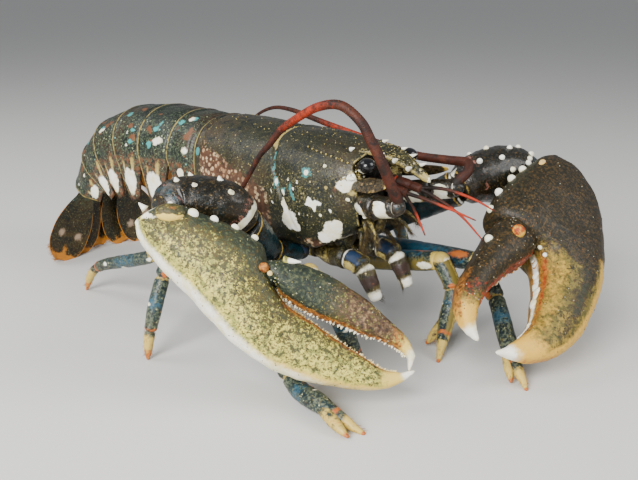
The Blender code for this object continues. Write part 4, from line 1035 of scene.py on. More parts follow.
# claws: wrist, run to the tip, side of the movable finger; bars in mm: outer edge, inner edge, thickness;
# teeth: where, how many, first and last share of the length, size, place outward; pearls: place, size in mm;
# lumps: where, place, sizes, facing as side and outward, colours, fineness, long side as run and side
cutter = {
    "wrist": Vector((0.0676, -0.1120, 0.0871)), "run": Vector((0.776, 0.410, -0.479)).normalized(),
    "side": Vector((0.099, 0.671, 0.735)), "face": 1.0,
    "palm": ((-2.0, -9.0, 8.0, 9.0, 19.0), (5.0, -15.0, 16.0, 11.0, 26.0), (21.0, -20.5, 29.0, 13.0, 30.0),
             (38.0, -24.5, 41.0, 14.5, 31.5), (53.0, -28.8, 53.0, 14.0, 31.0), (65.0, -31.8, 60.0, 8.2, 29.0),
             (76.0, -33.0, 68.0, 0.4, 27.0), (86.0, -33.0, 77.0, -3.9, 24.0), (98.0, -31.0, 90.0, -4.8, 21.0),
             (112.0, -26.5, 105.0, -5.7, 17.5), (126.0, -20.5, 120.0, -6.2, 14.0),
             (137.0, -13.5, 132.0, -6.2, 10.0),
             (142.8, -6.0, 139.5, -3.2, 5.5)),
    "palmTip": (144.8, 1.0),
    "finger": ((67.2, -0.9, 58.3, 7.1, 21.0), (69.2, 0.6, 60.3, 9.3, 24.0), (73.5, -1.7, 65.5, 12.6, 25.0),
               (81.5, -2.2, 73.5, 15.8, 23.5), (91.5, -1.6, 85.0, 18.0, 21.0), (102.5, 0.4, 98.0, 18.2, 18.0),
               (114.0, 2.4, 112.0, 17.0, 15.0), (125.0, 4.9, 124.5, 14.6, 12.0),
               (134.0, 5.1, 134.6, 12.2, 9.5),
               (138.8, 3.8, 141.5, 7.0, 6.5)),
    "fingerTip": (142.5, -0.6), "seed": 21, "blunt": False,
    "teeth": (("palm", 46, 0.545, 0.965, 0.0015, 0.0), ("palm", 22, 0.545, 0.860, 0.0011, 2.2),
              ("finger", 42, 0.16, 0.95, 0.0015, 0.0), ("finger", 20, 0.16, 0.80, 0.0011, 2.2)),
    "pearls": ((19.8, 8.1, 11.3, 4.0, 2.2), (29.0, 11.2, 8.6, 3.2, 1.8), (39.1, 13.2, 7.6, 3.0, 1.6),
               (49.2, 14.2, 5.6, 2.8, 1.5), (8.4, 6.4, 11.0, 2.0, 1.2)),
    "lumps": (("palm", (10.8, 3.0, 12.2), (7.0, 4.4, 3.6), (0.0, 1.0), knucklePaint, 4, (11.5, 6.6)),
              ("palm", (60.7, 3.8, 12.4), (2.5, 2.3, 1.8), (0.0, 1.0), {"dots": 1.2}, 3),
              ("finger", (64.4, 3.0, 11.9), (1.3, 1.2, 1.1), (0.0, 1.0), {"gold": 1.0, "pale": 0.45}, 3)),
}
crusher = {
    "wrist": Vector((0.1625, 0.0950, 0.0878)), "run": Vector((0.294, -0.819, -0.493)).normalized(),
    "side": Vector((-0.683, -0.541, 0.491)), "face": -1.0,
    "palm": ((-8.0, -8.0, 4.0, 7.0, 22.0), (-5.0, -19.5, 14.0, 12.0, 30.0), (6.0, -32.0, 27.0, 17.5, 36.0),
             (22.0, -40.5, 41.0, 22.0, 38.0), (42.0, -45.2, 56.0, 22.8, 37.0),
             (51.0, -46.2, 61.0, 14.0, 36.0),
             (59.0, -46.5, 63.6, 3.0, 34.5), (68.0, -46.5, 67.0, -7.0, 33.0),
             (82.0, -45.2, 80.0, -12.0, 29.0),
             (97.0, -42.0, 93.0, -13.0, 25.0), (110.0, -37.0, 106.0, -13.5, 20.5),
             (121.0, -29.2, 115.0, -11.5, 16.0),
             (129.5, -18.5, 123.0, -7.5, 11.0), (133.6, -8.0, 129.5, -3.4, 6.0)),
    "palmTip": (135.0, 1.0),
    "finger": ((63.6, -6.0, 56.9, 17.6, 25.0), (68.6, -4.6, 61.9, 19.0, 29.0), (72.5, -3.6, 68.0, 21.2, 30.0),
               (79.5, 0.0, 79.5, 23.2, 28.5), (88.0, 5.5, 90.0, 25.2, 26.0), (98.0, 10.6, 101.0, 27.4, 22.5),
               (108.0, 14.2, 112.0, 28.6, 18.5), (117.0, 15.8, 121.0, 27.2, 14.0),
               (124.0, 15.6, 128.5, 22.6, 9.5),
               (129.0, 13.6, 132.6, 16.6, 5.5)),
    "fingerTip": (134.0, 11.0), "seed": 22, "blunt": True,
    "teeth": (("palm", 9, 0.545, 0.725, 0.0032, 0.0), ("palm", 16, 0.735, 0.90, 0.0016, 0.0),
              ("finger", 8, 0.30, 0.56, 0.0022, 0.0), ("finger", 16, 0.58, 0.90, 0.0011, 0.0)),
    "pearls": ((8.5, 10.2, 6.0, 1.5), (17.7, 13.0, 7.2, 2.2), (27.0, 17.0, 5.4, 2.4), (40.3, 21.6, 4.2, 2.4),
               (52.8, 23.0, 2.2, 2.3)),
    "lumps": (("finger", (78.4, 21.9, 7.6), (2.3, 2.3, 2.7), (1.0, 0.5), {"pale": 1.2}, 4),
              ("finger", (70.4, 10.7, 15.0), (3.6, 3.4, 3.6), (0.0, 1.0), knobColourAndPaintedHighlight, 4),
              ("palm", (69.0, -9.7, 8.4), (1.3, 1.3, 1.1), (0.0, 1.0), {"pale": 0.9, "cool": 0.5}, 3),
              ("palm", (65.5, -6.3, 8.0), (1.3, 1.3, 1.1), (0.0, 1.0), {"pale": 0.9, "cool": 0.5}, 3),
              ("palm", (12.8, 4.6, 13.0), (4.6, 2.8, 1.6), (0.0, 1.0), {"gold": 1.0, "pale": 0.4}, 4,
               (1.0, 0.0))),
}
clawShape = {"base": 0.035, "point": 0.93, "square": 2.5, "grids": ((160, 120), (120, 90)),
             "rough": (0.00012, 0.00016), "granules": (150, 170)}


def clawSpot(claw, along, across, out=0.0):
    outward = claw["run"].cross(claw["side"]).normalized() * claw["face"]
    return claw["wrist"] + claw["run"] * along * 0.001 + claw["side"] * across * 0.001 + outward * out * 0.001


# blunt end closing over a short share of the length at the base, pointed end at the tip
def clawPoint(claw, part, v, u, rough):
    bars, tip = claw[part], claw[part + "Tip"]
    base, point = clawShape["base"], clawShape["point"]
    inner = min(max((v - base) / (point - base), 0.0), 1.0)
    lowAlong, lowAcross, highAlong, highAcross, thick = sample(bars, inner * (len(bars) - 1))
    angle = 2 * math.pi * u
    wide = bulge(math.cos(angle), clawShape["square"])
    middle = ((lowAlong + highAlong) / 2, (lowAcross + highAcross) / 2)
    reach = ((highAlong - lowAlong) / 2 * wide, (highAcross - lowAcross) / 2 * wide)
    out = thick / 2 * bulge(math.sin(angle), clawShape["square"])
    size = 1.0
    push = (0.0, 0.0)
    if v < base:
        share = 1 - v / base
        size = math.sqrt(max(1 - share * share, 0.0))
        push = (-2.5 * share, 0.0)
    if v > point:
        share = (v - point) / (1 - point)
        size = math.sqrt(max(1 - share, 0.0)) * (1 - 0.25 * share)
        push = ((tip[0] - middle[0]) * share, (tip[1] - middle[1]) * share)
    spot = clawSpot(claw, middle[0] + reach[0] * size + push[0], middle[1] + reach[1] * size + push[1],
                    out * size)
    heart = clawSpot(claw, middle[0] + push[0], middle[1] + push[1])
    outwards = (spot - heart).normalized() if size else Vector((0, 0, 0))
    lumps = jitter(spot, 0.010, 0.0005) + jitter(spot, 0.0040, 0.00022) + jitter(spot, 0.0016, rough)
    return spot + outwards * lumps * min(size * 1.5, 1.0)


def edgeAt(bars, part, inner):
    row = sample(bars, part * (len(bars) - 1))
    return (row[2], row[3]) if inner else (row[0], row[1])


def cutterPalmPaint(v, edge, out, point):
    lit = 0.62 + 0.38 * step(out, -0.3, 0.3)
    finger = step(v, 0.50, 0.57)
    cloudy = 0.16 * noise.noise(point / 0.0065)
    dark = 0.38 + 0.60 * step(edge, -0.60, 0.75) * (1 - step(v, 0.42, 0.66))
    dark += 0.26 * step(edge, -0.1, 0.8) * finger
    dark += 0.20 * (1 - step(v, 0.06, 0.24)) - 0.40 * step(-edge, 0.40, 0.95) + cloudy
    corner = (1 - step(v, 0.045, 0.12)) * step(edge, -0.9, -0.2) * step(out, -0.3, 0.2)
    veins = step(noise.noise(point / 0.0030) + 0.25 * noise.noise(point / 0.0011), -0.12, 0.10)
    margin = step(-edge, 0.50, 1.0) * step(out, -0.85, 0.0)
    return {"dark": dark * lit * (1 - step(v, 0.80, 0.92)),
            "cool": max(0.80 * step(edge, -0.25, 0.85) * (1 - step(v, 0.40, 0.66)) * lit + cloudy,
                        0.80 * corner * (1 - veins)),
            "warm": 0.30 * hump(v, 0.12, 0.08) * hump(edge, -0.2, 0.5)
            + 0.46 * step(edge, 0.20, 0.9) * finger * (1 - step(v, 0.84, 0.92)) + cloudy,
            "dots": max(0.90 * step(edge, 0.66, 0.92) * finger * (1 - step(v, 0.86, 0.93)),
                        0.55 * corner * hump(edge, 0.4, 0.3)),
            "gold": max(0.9 * step(v, 0.78, 0.90), 0.76 * step(-edge, 0.40, 0.85) * step(v, 0.30, 0.60),
                        0.55 * margin),
            "pale": max(margin * (1.0 - 0.55 * step(v, 0.45, 0.80)), step(v, 0.87, 0.98) * 1.15,
                        0.92 * corner * veins)}


def cutterThumbPaint(v, edge, out, point):
    gum = step(-edge, 0.70, 0.94) * step(v, 0.12, 0.22) * (1 - step(v, 0.80, 0.88))
    fine = 0.25 * noise.noise(point / 0.0016) + 0.15 * noise.noise(point / 0.006)
    return {"dark": 0.80 * (1 - step(v, 0.70, 0.84)), "cool": (1.0 + fine) * (1 - step(v, 0.34, 0.76)),
            "warm": (0.74 + fine) * step(v, 0.34, 0.62) * (1 - step(v, 0.74, 0.86)),
            "dots": max(0.92 * gum, 0.74 * hump(v, 0.79, 0.06) + fine), "gold": step(v, 0.74, 0.86),
            "pale": step(v, 0.80, 0.96) * 1.15}


def crusherPalmPaint(v, edge, out, point):
    fine = 0.22 * noise.noise(point / 0.0020)
    cloudy = 0.30 * noise.noise(point / 0.0080)
    start = 0.48 + 0.04 * step(-edge, -0.5, 0.4) + 0.05 * cloudy
    finger = step(v, start - 0.06, start + 0.08) * (1 - step(v, 0.84, 0.92))
    olive = hump(edge, -0.16, 0.16) * step(v, 0.44, 0.58) * (1 - step(v, 0.64, 0.80))
    rim = step(-edge, 0.34, 0.72) * step(v, 0.35, 0.48)
    dark = 1.0 - 0.62 * step(v, start - 0.12, start + 0.12) + 0.36 * olive
    dark += 0.5 * cloudy - 0.60 * rim * (1 - step(v, 0.6, 0.7)) - 0.30 * step(v, 0.76, 0.90)
    return {"dark": dark * (0.80 + 0.20 * step(out, -0.3, 0.3)),
            "cool": max(0.60 * step(edge, 0.3, 0.95) * (1 - step(v, 0.14, 0.40)), 0.55 * olive) + fine,
            "gold": max(0.70 * rim, 0.85 * step(v, 0.72, 0.88), 0.46 * finger * step(edge, -0.1, 0.5)),
            "warm": max(0.80 * hump(edge, 0.93, 0.06) * step(out, -0.2, 0.1) * step(v, 0.50, 0.56)
                        * (1 - step(v, 0.66, 0.78)) + fine,
                        0.50 * step(-edge, 0.86, 1.0) * step(v, 0.70, 0.82) * (1 - step(v, 0.88, 0.95))),
            "dots": 0.62 * step(edge, 0.62, 0.95) * finger,
            "pale": max(step(v, 0.84, 0.98) * 1.15, 0.70 * step(edge, 0.985, 1.0) * finger)}


def crusherThumbPaint(v, edge, out, point):
    inner = step(-edge, 0.55, 0.92) * step(v, 0.12, 0.25)
    fine = 0.22 * noise.noise(point / 0.0020)
    return {"dark": (1 - step(v, 0.54, 0.84)) + fine,
            "warm": 0.62 * inner * (1 - step(v, 0.66, 0.82)) + 0.42 * hump(v, 0.66, 0.09) + fine,
            "dots": (0.40 * inner + 0.70 * step(edge, 0.45, 0.95) * step(v, 0.40, 0.60))
            * (1 - step(v, 0.78, 0.9)),
            "gold": 0.95 * step(v, 0.62, 0.84), "pale": step(v, 0.80, 0.97) * 1.15}


def clawPaint(rule):
    def paint(v, u, point):
        return rule(v, math.cos(2 * math.pi * u), math.sin(2 * math.pi * u), point)
    return paint


def makeTeeth(form, claw, inner, draw, count, first, last, size, offset):
    bars = claw["palm" if inner else "finger"]
    towards = claw["side"] if inner else -claw["side"]

    def crown(local):
        return {"pale": step(local.z, 0.30, 0.80), "dots": 0.8, "gold": 0.9}
    for index in range(count):
        part = first + (last - first) * (index + draw.uniform(-0.25, 0.25)) / (count - 1)
        along, across = edgeAt(bars, part, inner)
        root = clawSpot(claw, along, across, offset + draw.uniform(-0.8, 0.8))
        if claw["blunt"]:
            share = 1 - index / (count - 1)
            swell = 0.50 + 0.70 * math.sin(math.pi * (0.10 + 0.80 * share))
            scale = size * draw.uniform(0.60, 1.15) * swell
            turn = claw["run"] + towards * draw.uniform(-0.5, 0.5)
            made = pebble(form, root - towards * scale * draw.uniform(0.60, 0.78),
                          (scale * 1.15, scale * 1.10, scale), towards, crown, 3, turn)
            for vert in made:
                vert.co += towards * (jitter(vert.co, 0.0022, 0.0005) + jitter(vert.co, 0.0009, 0.00015))
        else:
            scale = size * draw.uniform(0.65, 1.05) * (1.25 if index % 3 == 1 else 1.0)
            spine(form, root - towards * 0.0002, towards + claw["run"] * draw.uniform(-0.1, 0.3), scale,
                  scale * 0.56,
                  {"dots": 1.1, "gold": 0.5}, {"pale": 0.70 if not inner else 0.50, "gold": 1.0}, sides=8,
                  rows=6)


def makeClaw(claw, kind, sideName):
    draw = random.Random(claw["seed"])
    finish = cutterFinish if kind == "cutter" else crusherFinish
    outward = claw["run"].cross(claw["side"]).normalized() * claw["face"]
    rules = {"cutter": (cutterPalmPaint, cutterThumbPaint),
             "crusher": (crusherPalmPaint, crusherThumbPaint)}[kind]
    forms = {"palm": newForm(), "finger": newForm()}
    white = {"pale": 1.2}

    def lump(part, place, sizes, facing, values, fineness, turn=None):
        towards = claw["side"] * facing[0] + outward * facing[1]
        across = claw["run"] * turn[0] + claw["side"] * turn[1] if turn else None
        sizes = [size * 0.001 for size in sizes]
        pebble(forms[part], clawSpot(claw, *place), sizes, towards, values, fineness, across)
    for part, grid, rough, rule in zip(forms, clawShape["grids"], clawShape["rough"], rules):
        wrap(forms[part], *grid, lambda v, u, part=part, rough=rough: clawPoint(claw, part, v, u, rough),
             clawPaint(rule))
    for part, *row in claw["teeth"]:
        makeTeeth(forms[part], claw, part == "palm", draw, *row)
    for row in claw["lumps"]:
        lump(*row)
    if kind == "cutter":
        for along, across, out, long, half in claw["pearls"]:
            lump("palm", (along, across + 0.3, out + 0.2), (long * 0.66, half * 0.72, half), (1.0, 0.6),
                 white, 4, (1.0, 0.0))
            lump("palm", (along - 0.4, across - half * 0.7, out + 0.1), (long * 0.5, half * 0.7, 0.8),
                 (0.0, 1.0),
                 {"gold": 0.9, "dots": 0.4}, 3, (1.0, 0.0))
        way = claw["run"] * 0.8 + claw["side"] * 0.35 + outward * 0.3
        spine(forms["finger"], clawSpot(claw, 68.4, 12.9, 8.0), way, 0.0066, 0.0017,
              {"cool": 0.5, "gold": 0.3},
              white, sides=14, rows=12)
        spine(forms["palm"], clawSpot(claw, -2.4, -0.4, 4.8), Vector((-0.6, -0.45, 0.75)), 0.0036, 0.0015,
              {"pale": 0.5}, white, sides=12)
    else:
        for along, across, out, size in claw["pearls"]:
            lump("palm", (along, across, out), (size, size, size * 1.2), (1.0, 0.4), white, 4)
    for part, count in zip(forms, clawShape["granules"]):
        for _ in range(count):
            v, u = draw.uniform(0.05, 0.80), draw.uniform(0.02, 0.48)
            spot = clawPoint(claw, part, v, u, 0.0)
            size = draw.uniform(0.00018, 0.00040)
            granule(forms[part], spot, size, {"pale": draw.choice((0.0, 0.3, 0.5)), "dark": 0.6, "cool": 0.3},
                    outward)
    finishPiece("claw_hand_" + sideName, forms["palm"], ("claw_palm_" + sideName,), finish)
    finishPiece("claw_thumb_" + sideName, forms["finger"], ("claw_finger_" + sideName,), finish)


makeClaw(cutter, "cutter", "right")
makeClaw(crusher, "crusher", "left")
print("claws made")
# arm joints from the thorax out to the wrist: place and half size
arms = {
    "right": {"root": (((0.0740, -0.0130, 0.0478), 0.0050), ((0.0770, -0.0230, 0.0478), 0.0056),
                       ((0.0750, -0.0375, 0.0520), 0.0060)),
              "merus": (((0.0750, -0.0375, 0.0520), 0.0060), ((0.0790, -0.0530, 0.0640), 0.0090),
                        ((0.0825, -0.0660, 0.0745), 0.0096)),
              "carpus": (((0.0825, -0.0650, 0.0735), 0.0070), ((0.0820, -0.0680, 0.0775), 0.0108),
                         ((0.0795, -0.0735, 0.0840), 0.0124),
                         ((0.0713, -0.0820, 0.0868), 0.0132), ((0.0643, -0.0920, 0.0870), 0.0125),
                         ((0.0635, -0.0985, 0.0866), 0.0098), ((0.0640, -0.1030, 0.0866), 0.0050))},
    "left": {"root": (((0.0740, 0.0130, 0.0478), 0.0050), ((0.0770, 0.0230, 0.0478), 0.0056),
                      ((0.0920, 0.0385, 0.0540), 0.0063)),
             "merus": (((0.0920, 0.0385, 0.0540), 0.0063), ((0.1140, 0.0480, 0.0680), 0.0092),
                       ((0.1330, 0.0560, 0.0790), 0.0102)),
             "carpus": (((0.1320, 0.0550, 0.0785), 0.0075), ((0.1345, 0.0600, 0.0805), 0.0122),
                        ((0.1380, 0.0680, 0.0830), 0.0145),
                        ((0.1430, 0.0810, 0.0840), 0.0160), ((0.1500, 0.0920, 0.0845), 0.0140),
                        ((0.1545, 0.0975, 0.0845), 0.0105), ((0.1590, 0.1020, 0.0845), 0.0050))},
}
carpusSpines = ((0.30, 60), (0.42, 96), (0.44, 50), (0.56, 128), (0.58, 78), (0.68, 100), (0.72, 45),
                (0.80, 70), (0.36, 130),
                (0.86, 96), (0.50, 20))


def roundedEnds(v, share):
    head = max((v - 1 + share) / share, 0.0)
    foot = max((share - v) / share, 0.0)
    return math.sqrt(max(1 - head * head, 0.0)) * math.sqrt(max(1 - foot * foot, 0.0))


def makeArm(name):
    look = arms[name]
    form = newForm()
    for part in ("root", "merus"):
        places = [row[0] for row in look[part]]
        plain = profile([row[1] for row in look[part]])

        def radiusAt(v, plain=plain):
            return plain(v) * roundedEnds(v, 0.07) * (1 + 0.05 * hump(v, 0.88, 0.03)
                                                      - 0.05 * hump(v, 0.93, 0.012))
        tube(form, places, radiusAt, 60, 40,
             lambda v, u, point: {"cool": 0.42 + 0.25 * hump(v, 0.4, 0.3), "gold": 0.62 * hump(v, 0.90, 0.03),
                                  "pale": 0.66 * hump(v, 0.95, 0.03)
                                  * hump(math.cos(2 * math.pi * u), 0.6, 0.7),
                                  "dots": 0.5}, 1.0, 0.0004)
    elbow = Vector(look["merus"][-1][0])
    outward = (elbow - Vector(look["merus"][0][0])).normalized()
    tip = elbow + Vector((0, 0, 0.0085)) - outward * 0.004
    spine(form, tip, Vector((0, 0, 1)) + outward * 0.8, 0.0064, 0.0020, {"pale": 0.4}, {"pale": 1.0},
          sides=12, rows=10)
    finishPiece("arm_" + name, form, ("arm_ischium_" + name, "arm_merus_" + name), armFinish)
    form = newForm()
    places = [row[0] for row in look["carpus"]]
    plain = profile([row[1] for row in look["carpus"]])

    def wristRadius(v):
        return plain(v) * roundedEnds(v, 0.05)

    def paint(v, u, point):
        around = math.cos(2 * math.pi * (u - 0.45))
        crescent = max(1.0 - 0.5 * abs(v - 0.185 - 0.03 * around) / 0.036, 0.0) * step(around, -0.5, 0.2)
        return {"pale": crescent, "cool": 0.30 + 0.16 * hump(v, 0.88, 0.10), "dots": 0.6,
                "gold": 0.50 * hump(v, 0.965, 0.02) + 0.55 * hump(v, 0.07, 0.03),
                "warm": 0.46 * hump(v, 0.27, 0.05) + 0.40 * hump(v, 0.80, 0.06)}
    tube(form, places, wristRadius, 90, 64, paint, 1.0, 0.0005)
    frames = framesAlong(places, 100)
    for share, turn in carpusSpines:
        centre, along, side, top = frames[int(share * 100)]
        across = along.cross(Vector((0, 0, 1))).normalized()
        up = across.cross(along).normalized()
        away = up * math.sin(math.radians(turn)) + across * math.cos(math.radians(turn))
        root = centre + away * (wristRadius(share) - 0.0003)
        if name == "left":
            pebble(form, root, (0.0017, 0.0017, 0.0021), away, {"pale": 1.2}, 4)
        elif turn > 55 and share < 0.75:
            spine(form, root, away + along * 0.35, 0.0022, 0.0015, {"pale": 0.7}, {"pale": 1.0}, sides=12,
                  rows=8)
    finishPiece("wrist_" + name, form, ("arm_carpus_" + name,), armFinish)


makeArm("right")
makeArm("left")
print("arms made")
# walking legs: root, two places, knee, wrist, ankle, foot, tip of the pincer's thumb
legs = {
    "right": (
        ((0.0620, -0.0150, 0.0480), (0.0660, -0.0310, 0.0400), (0.0850, -0.0430, 0.0365),
         (0.1120, -0.0490, 0.0500),
         (0.1260, -0.0460, 0.0330), (0.1310, -0.0390, 0.0140), (0.1340, -0.0310, 0.0),
         (0.1240, -0.0280, 0.0015)),
        ((0.0480, -0.0150, 0.0480), (0.0520, -0.0340, 0.0450), (0.0720, -0.0520, 0.0410),
         (0.0980, -0.0670, 0.0400),
         (0.1290, -0.0820, 0.0102), (0.1560, -0.0895, 0.0072), (0.1788, -0.0876, 0.0),
         (0.1760, -0.0960, 0.0015)),
        ((0.0340, -0.0150, 0.0480), (0.0350, -0.0330, 0.0485), (0.0390, -0.0520, 0.0560),
         (0.0420, -0.0720, 0.0620),
         (0.0440, -0.0880, 0.0420), (0.0440, -0.0980, 0.0160), (0.0440, -0.1010, 0.0), None),
        ((0.0200, -0.0150, 0.0480), (0.0200, -0.0330, 0.0480), (0.0190, -0.0490, 0.0550),
         (0.0180, -0.0660, 0.0600),
         (0.0040, -0.0620, 0.0400), (-0.0550, -0.0600, 0.0190), (-0.0700, -0.0600, 0.0), None)),
    "left": (
        ((0.0620, 0.0150, 0.0480), (0.0660, 0.0310, 0.0440), (0.0850, 0.0440, 0.0385),
         (0.1555, 0.0450, 0.0418),
         (0.1736, 0.0325, 0.0280), (0.1950, 0.0110, 0.0125), (0.2127, -0.0027, 0.0),
         (0.2035, -0.0020, 0.0015)),
        ((0.0480, 0.0150, 0.0480), (0.0500, 0.0260, 0.0400), (0.0680, 0.0310, 0.0300),
         (0.1412, 0.0275, 0.0436),
         (0.1512, 0.0250, 0.0298), (0.1540, 0.0150, 0.0140), (0.1620, -0.0040, 0.0),
         (0.1455, 0.0095, 0.0015)),
        ((0.0340, 0.0150, 0.0480), (0.0360, 0.0330, 0.0485), (0.0440, 0.0530, 0.0560),
         (0.0520, 0.0740, 0.0620),
         (0.0600, 0.0920, 0.0420), (0.0640, 0.1060, 0.0160), (0.0660, 0.1120, 0.0), None),
        ((0.0200, 0.0150, 0.0480), (0.0190, 0.0330, 0.0480), (0.0140, 0.0520, 0.0560),
         (0.0080, 0.0720, 0.0620),
         (-0.0120, 0.0820, 0.0440), (-0.0480, 0.0900, 0.0180), (-0.0640, 0.0920, 0.0), None)),
}
legShape = {
    "upper": (0.0044, 0.0052, 0.0056, 0.0060, 0.0056),
    "pincer": (0.0056, 0.0048, 0.0050, 0.0048, 0.0030, 0.0010),
    "hook": (0.0056, 0.0048, 0.0042, 0.0036, 0.0026, 0.0008), "bristles": 120, "olive": "walking_leg_left_2",
}


# segments swell towards their far end, with a cuffed rim and a tight crease at every joint
def segmentRadius(radii, joints):
    jointed = jointedRadius(radii, joints, (0.24, 0.010), (0.10, 0.028, 0.014), 0.985)
    cuts = [0.0] + [joint for joint in joints if joint > 0] + [1.0]

    def radiusAt(v):
        size = jointed(v)
        for low, high in zip(cuts, cuts[1:]):
            if low <= v <= high:
                size *= 0.90 + 0.13 * math.sin(math.pi * ((v - low) / (high - low)) ** 1.5)
        return size
    return radiusAt


def legPaints(thumb, olive, phase):
    last = 0.78 if thumb else 0.68

    def spot(v, u, place, half, turn):
        return max(1.0 - 0.5 * math.hypot((v - place) / half, math.sin(math.pi * (u - turn)) / 0.22), 0.0)

    def upper(v, u, point):
        rim = abs(math.cos(2 * math.pi * (u - phase)))
        return {"cool": 0.44 * hump(v, 0.72, 0.2) + 0.28,
                "dark": (0.72 if olive else 0.40) * rim * step(v, 0.45, 0.6),
                "gold": 0.80 * hump(v, 0.985, 0.022) + 0.50 * hump(v, 0.30, 0.02), "dots": 0.45,
                "pale": spot(v, u, 0.95, 0.025, phase), "warm": spot(v, u, 0.93, 0.030, phase + 0.35)}

    def lower(v, u, point):
        tip = step(v, last - 0.03, last + 0.07)
        pale = max(0.85 * spot(v, u, 0.345, 0.020, phase), 0.9 * spot(v, u, 0.50, 0.014, phase + 0.1),
                   0.9 * spot(v, u, 0.58, 0.012, phase - 0.1))
        rim = abs(math.cos(2 * math.pi * (u - phase)))
        return {"gold": max(0.66 * hump(v, 0.0, 0.030), 0.62 * hump(v, 0.335, 0.020), 0.74 * tip,
                            0.60 * step(rim, 0.80, 1.0) if olive else 0.0),
                "warm": max(spot(v, u, 0.035, 0.035, phase), spot(v, u, 0.310, 0.030, phase + 0.3),
                            0.62 * hump(v, last - 0.02, 0.025),
                            0.75 * step(v, 0.93, 0.99), 0.0 if thumb else 0.60 * step(v, 0.72, 0.9)),
                "cool": 0.52 * hump(v, 0.48, 0.10), "dark": 0.90 * (1 - tip) * step(rim, 0.30, 0.75)
                if olive else 0.30, "pale": pale, "dots": 0.7}
    return upper, lower


def makeLeg(name, nodes, places, coat, draw):
    form = newForm()
    root, first, second, knee, wrist, ankle, foot, thumb = [place and Vector(place) for place in places]
    upper, lower = legPaints(thumb, name == legShape["olive"], draw.random())
    tube(form, (root, first, second, knee), segmentRadius(legShape["upper"], (0.30, 0.62)), 110, 24, upper,
         1.0, 0.0002)
    radii = legShape["pincer"] if thumb else legShape["hook"]
    joints = (0.0, 0.33) if thumb else (0.0, 0.33, 0.68)
    tube(form, (knee, wrist, ankle, foot), segmentRadius(radii, joints), 130, 24, lower, 1.0, 0.0002)
    pebble(form, knee, (0.0053, 0.0053, 0.0053), (0, 0, 1),
           lambda local: {"gold": 0.55 + 0.3 * local.z, "pale": 0.55 * step(local.x, 0.3, 0.8),
                          "warm": 0.8 * step(-local.x, 0.5, 0.8)}, 3)
    if thumb:
        start = ankle + (wrist - ankle).normalized() * 0.003
        middle = ankle.lerp(thumb, 0.5) + (thumb - foot).normalized() * 0.0012
        tube(form, (start, middle, thumb), profile((0.0034, 0.0032, 0.0024, 0.0007)), 26, 16,
             lambda v, u, point: {"gold": 0.45 + 0.3 * v, "warm": 0.35 + 0.5 * step(v, 0.8, 1.0)}, 1.0,
             0.0001)
    count = legShape["bristles"]
    for line, amount in (((wrist, ankle, foot), count), ((ankle, thumb), count // 2)):
        if line[-1] is None:
            continue
        for index in range(amount):
            v = 0.20 + 0.77 * index / amount
            spot = Vector(sample(line, v * (len(line) - 1)))
            turn = draw.uniform(0, 2 * math.pi)
            run = (line[-1] - line[-2]).normalized()
            side = run.cross(Vector((0, 0, 1))).normalized()
            away = side * math.cos(turn) + side.cross(run) * math.sin(turn)
            base = spot + away * (0.0042 * (1 - v) + 0.0016) * 0.8
            way = away * 0.8 + run * 0.9
            long = draw.uniform(0.0010, 0.0026) * (0.5 + 0.7 * v)
            if base.z + way.normalized().z * long > 0.0006:
                hair(coat, base, way, long, 0.00013, (draw.uniform(0.05, 0.9), v))
    finishPiece(name, form, nodes, legFinish)


def makeLegs():
    coat = newCoat()
    draw = random.Random(31)
    for side in ("right", "left"):
        for number, places in enumerate(legs[side]):
            node = "leg_%s_%d" % (side, number + 1)
            makeLeg("walking_" + node, (node + "_upper", node + "_lower"), places, coat, draw)
    finishPiece("leg_bristles", coat, (), bristleFinish)


makeLegs()
print("legs made")
# feelers: whip routes from the stalk out
whips = {
    "right": (
        (0.1496, -0.0265, 0.0880), (0.1496, -0.0268, 0.0896), (0.1488, -0.0315, 0.0980),
        (0.1467, -0.0370, 0.1106),
        (0.1432, -0.0405, 0.1201), (0.1390, -0.0432, 0.1290), (0.1290, -0.0455, 0.1358),
        (0.1158, -0.0465, 0.1340),
        (0.1020, -0.0470, 0.1269), (0.0923, -0.0475, 0.1205), (0.0850, -0.0480, 0.1126),
        (0.0775, -0.0485, 0.1050),
        (0.0668, -0.0495, 0.0889), (0.0560, -0.0500, 0.0760), (0.0420, -0.0495, 0.0680),
        (0.0240, -0.0480, 0.0640),
        (0.0040, -0.0460, 0.0600)),
    "left": (
        (0.1492, 0.0262, 0.0886), (0.1496, 0.0265, 0.0896), (0.1515, 0.0335, 0.0945),
        (0.1470, 0.0400, 0.0975),
        (0.1330, 0.0435, 0.0965), (0.1120, 0.0445, 0.0960), (0.0900, 0.0448, 0.0985),
        (0.0690, 0.0450, 0.1022),
        (0.0485, 0.0455, 0.1058), (0.0290, 0.0470, 0.1090), (0.0100, 0.0500, 0.1115),
        (-0.0107, 0.0550, 0.1105),
        (-0.0320, 0.0610, 0.1030), (-0.0520, 0.0670, 0.0900), (-0.0700, 0.0720, 0.0720),
        (-0.0860, 0.0760, 0.0520)),
    "radii": (0.0028, 0.00258, 0.00202, 0.00118, 0.0004), "rings": 170,
}


feelerStalk = {
    "places": ((0.1150, 0.0125, 0.0812), (0.1183, 0.0145, 0.0815), (0.1290, 0.0215, 0.0825),
               (0.1400, 0.0250, 0.0845),
               (0.1500, 0.0265, 0.0865), (0.1538, 0.0270, 0.0872)),
    "radii": (0.0050, 0.0054, 0.0062, 0.0056, 0.0042, 0.0008),
    "joints": (0.24, 0.52, 0.76), "pinch": (0.16, 0.012), "swell": (0.06, 0.04, 0.022), "end": 0.94,
    "scale": ((0.1165, 0.0198, 0.0914), (0.1440, 0.0275, 0.0960)), "scaleHalf": 0.0042, "scaleThick": 0.0010,
}


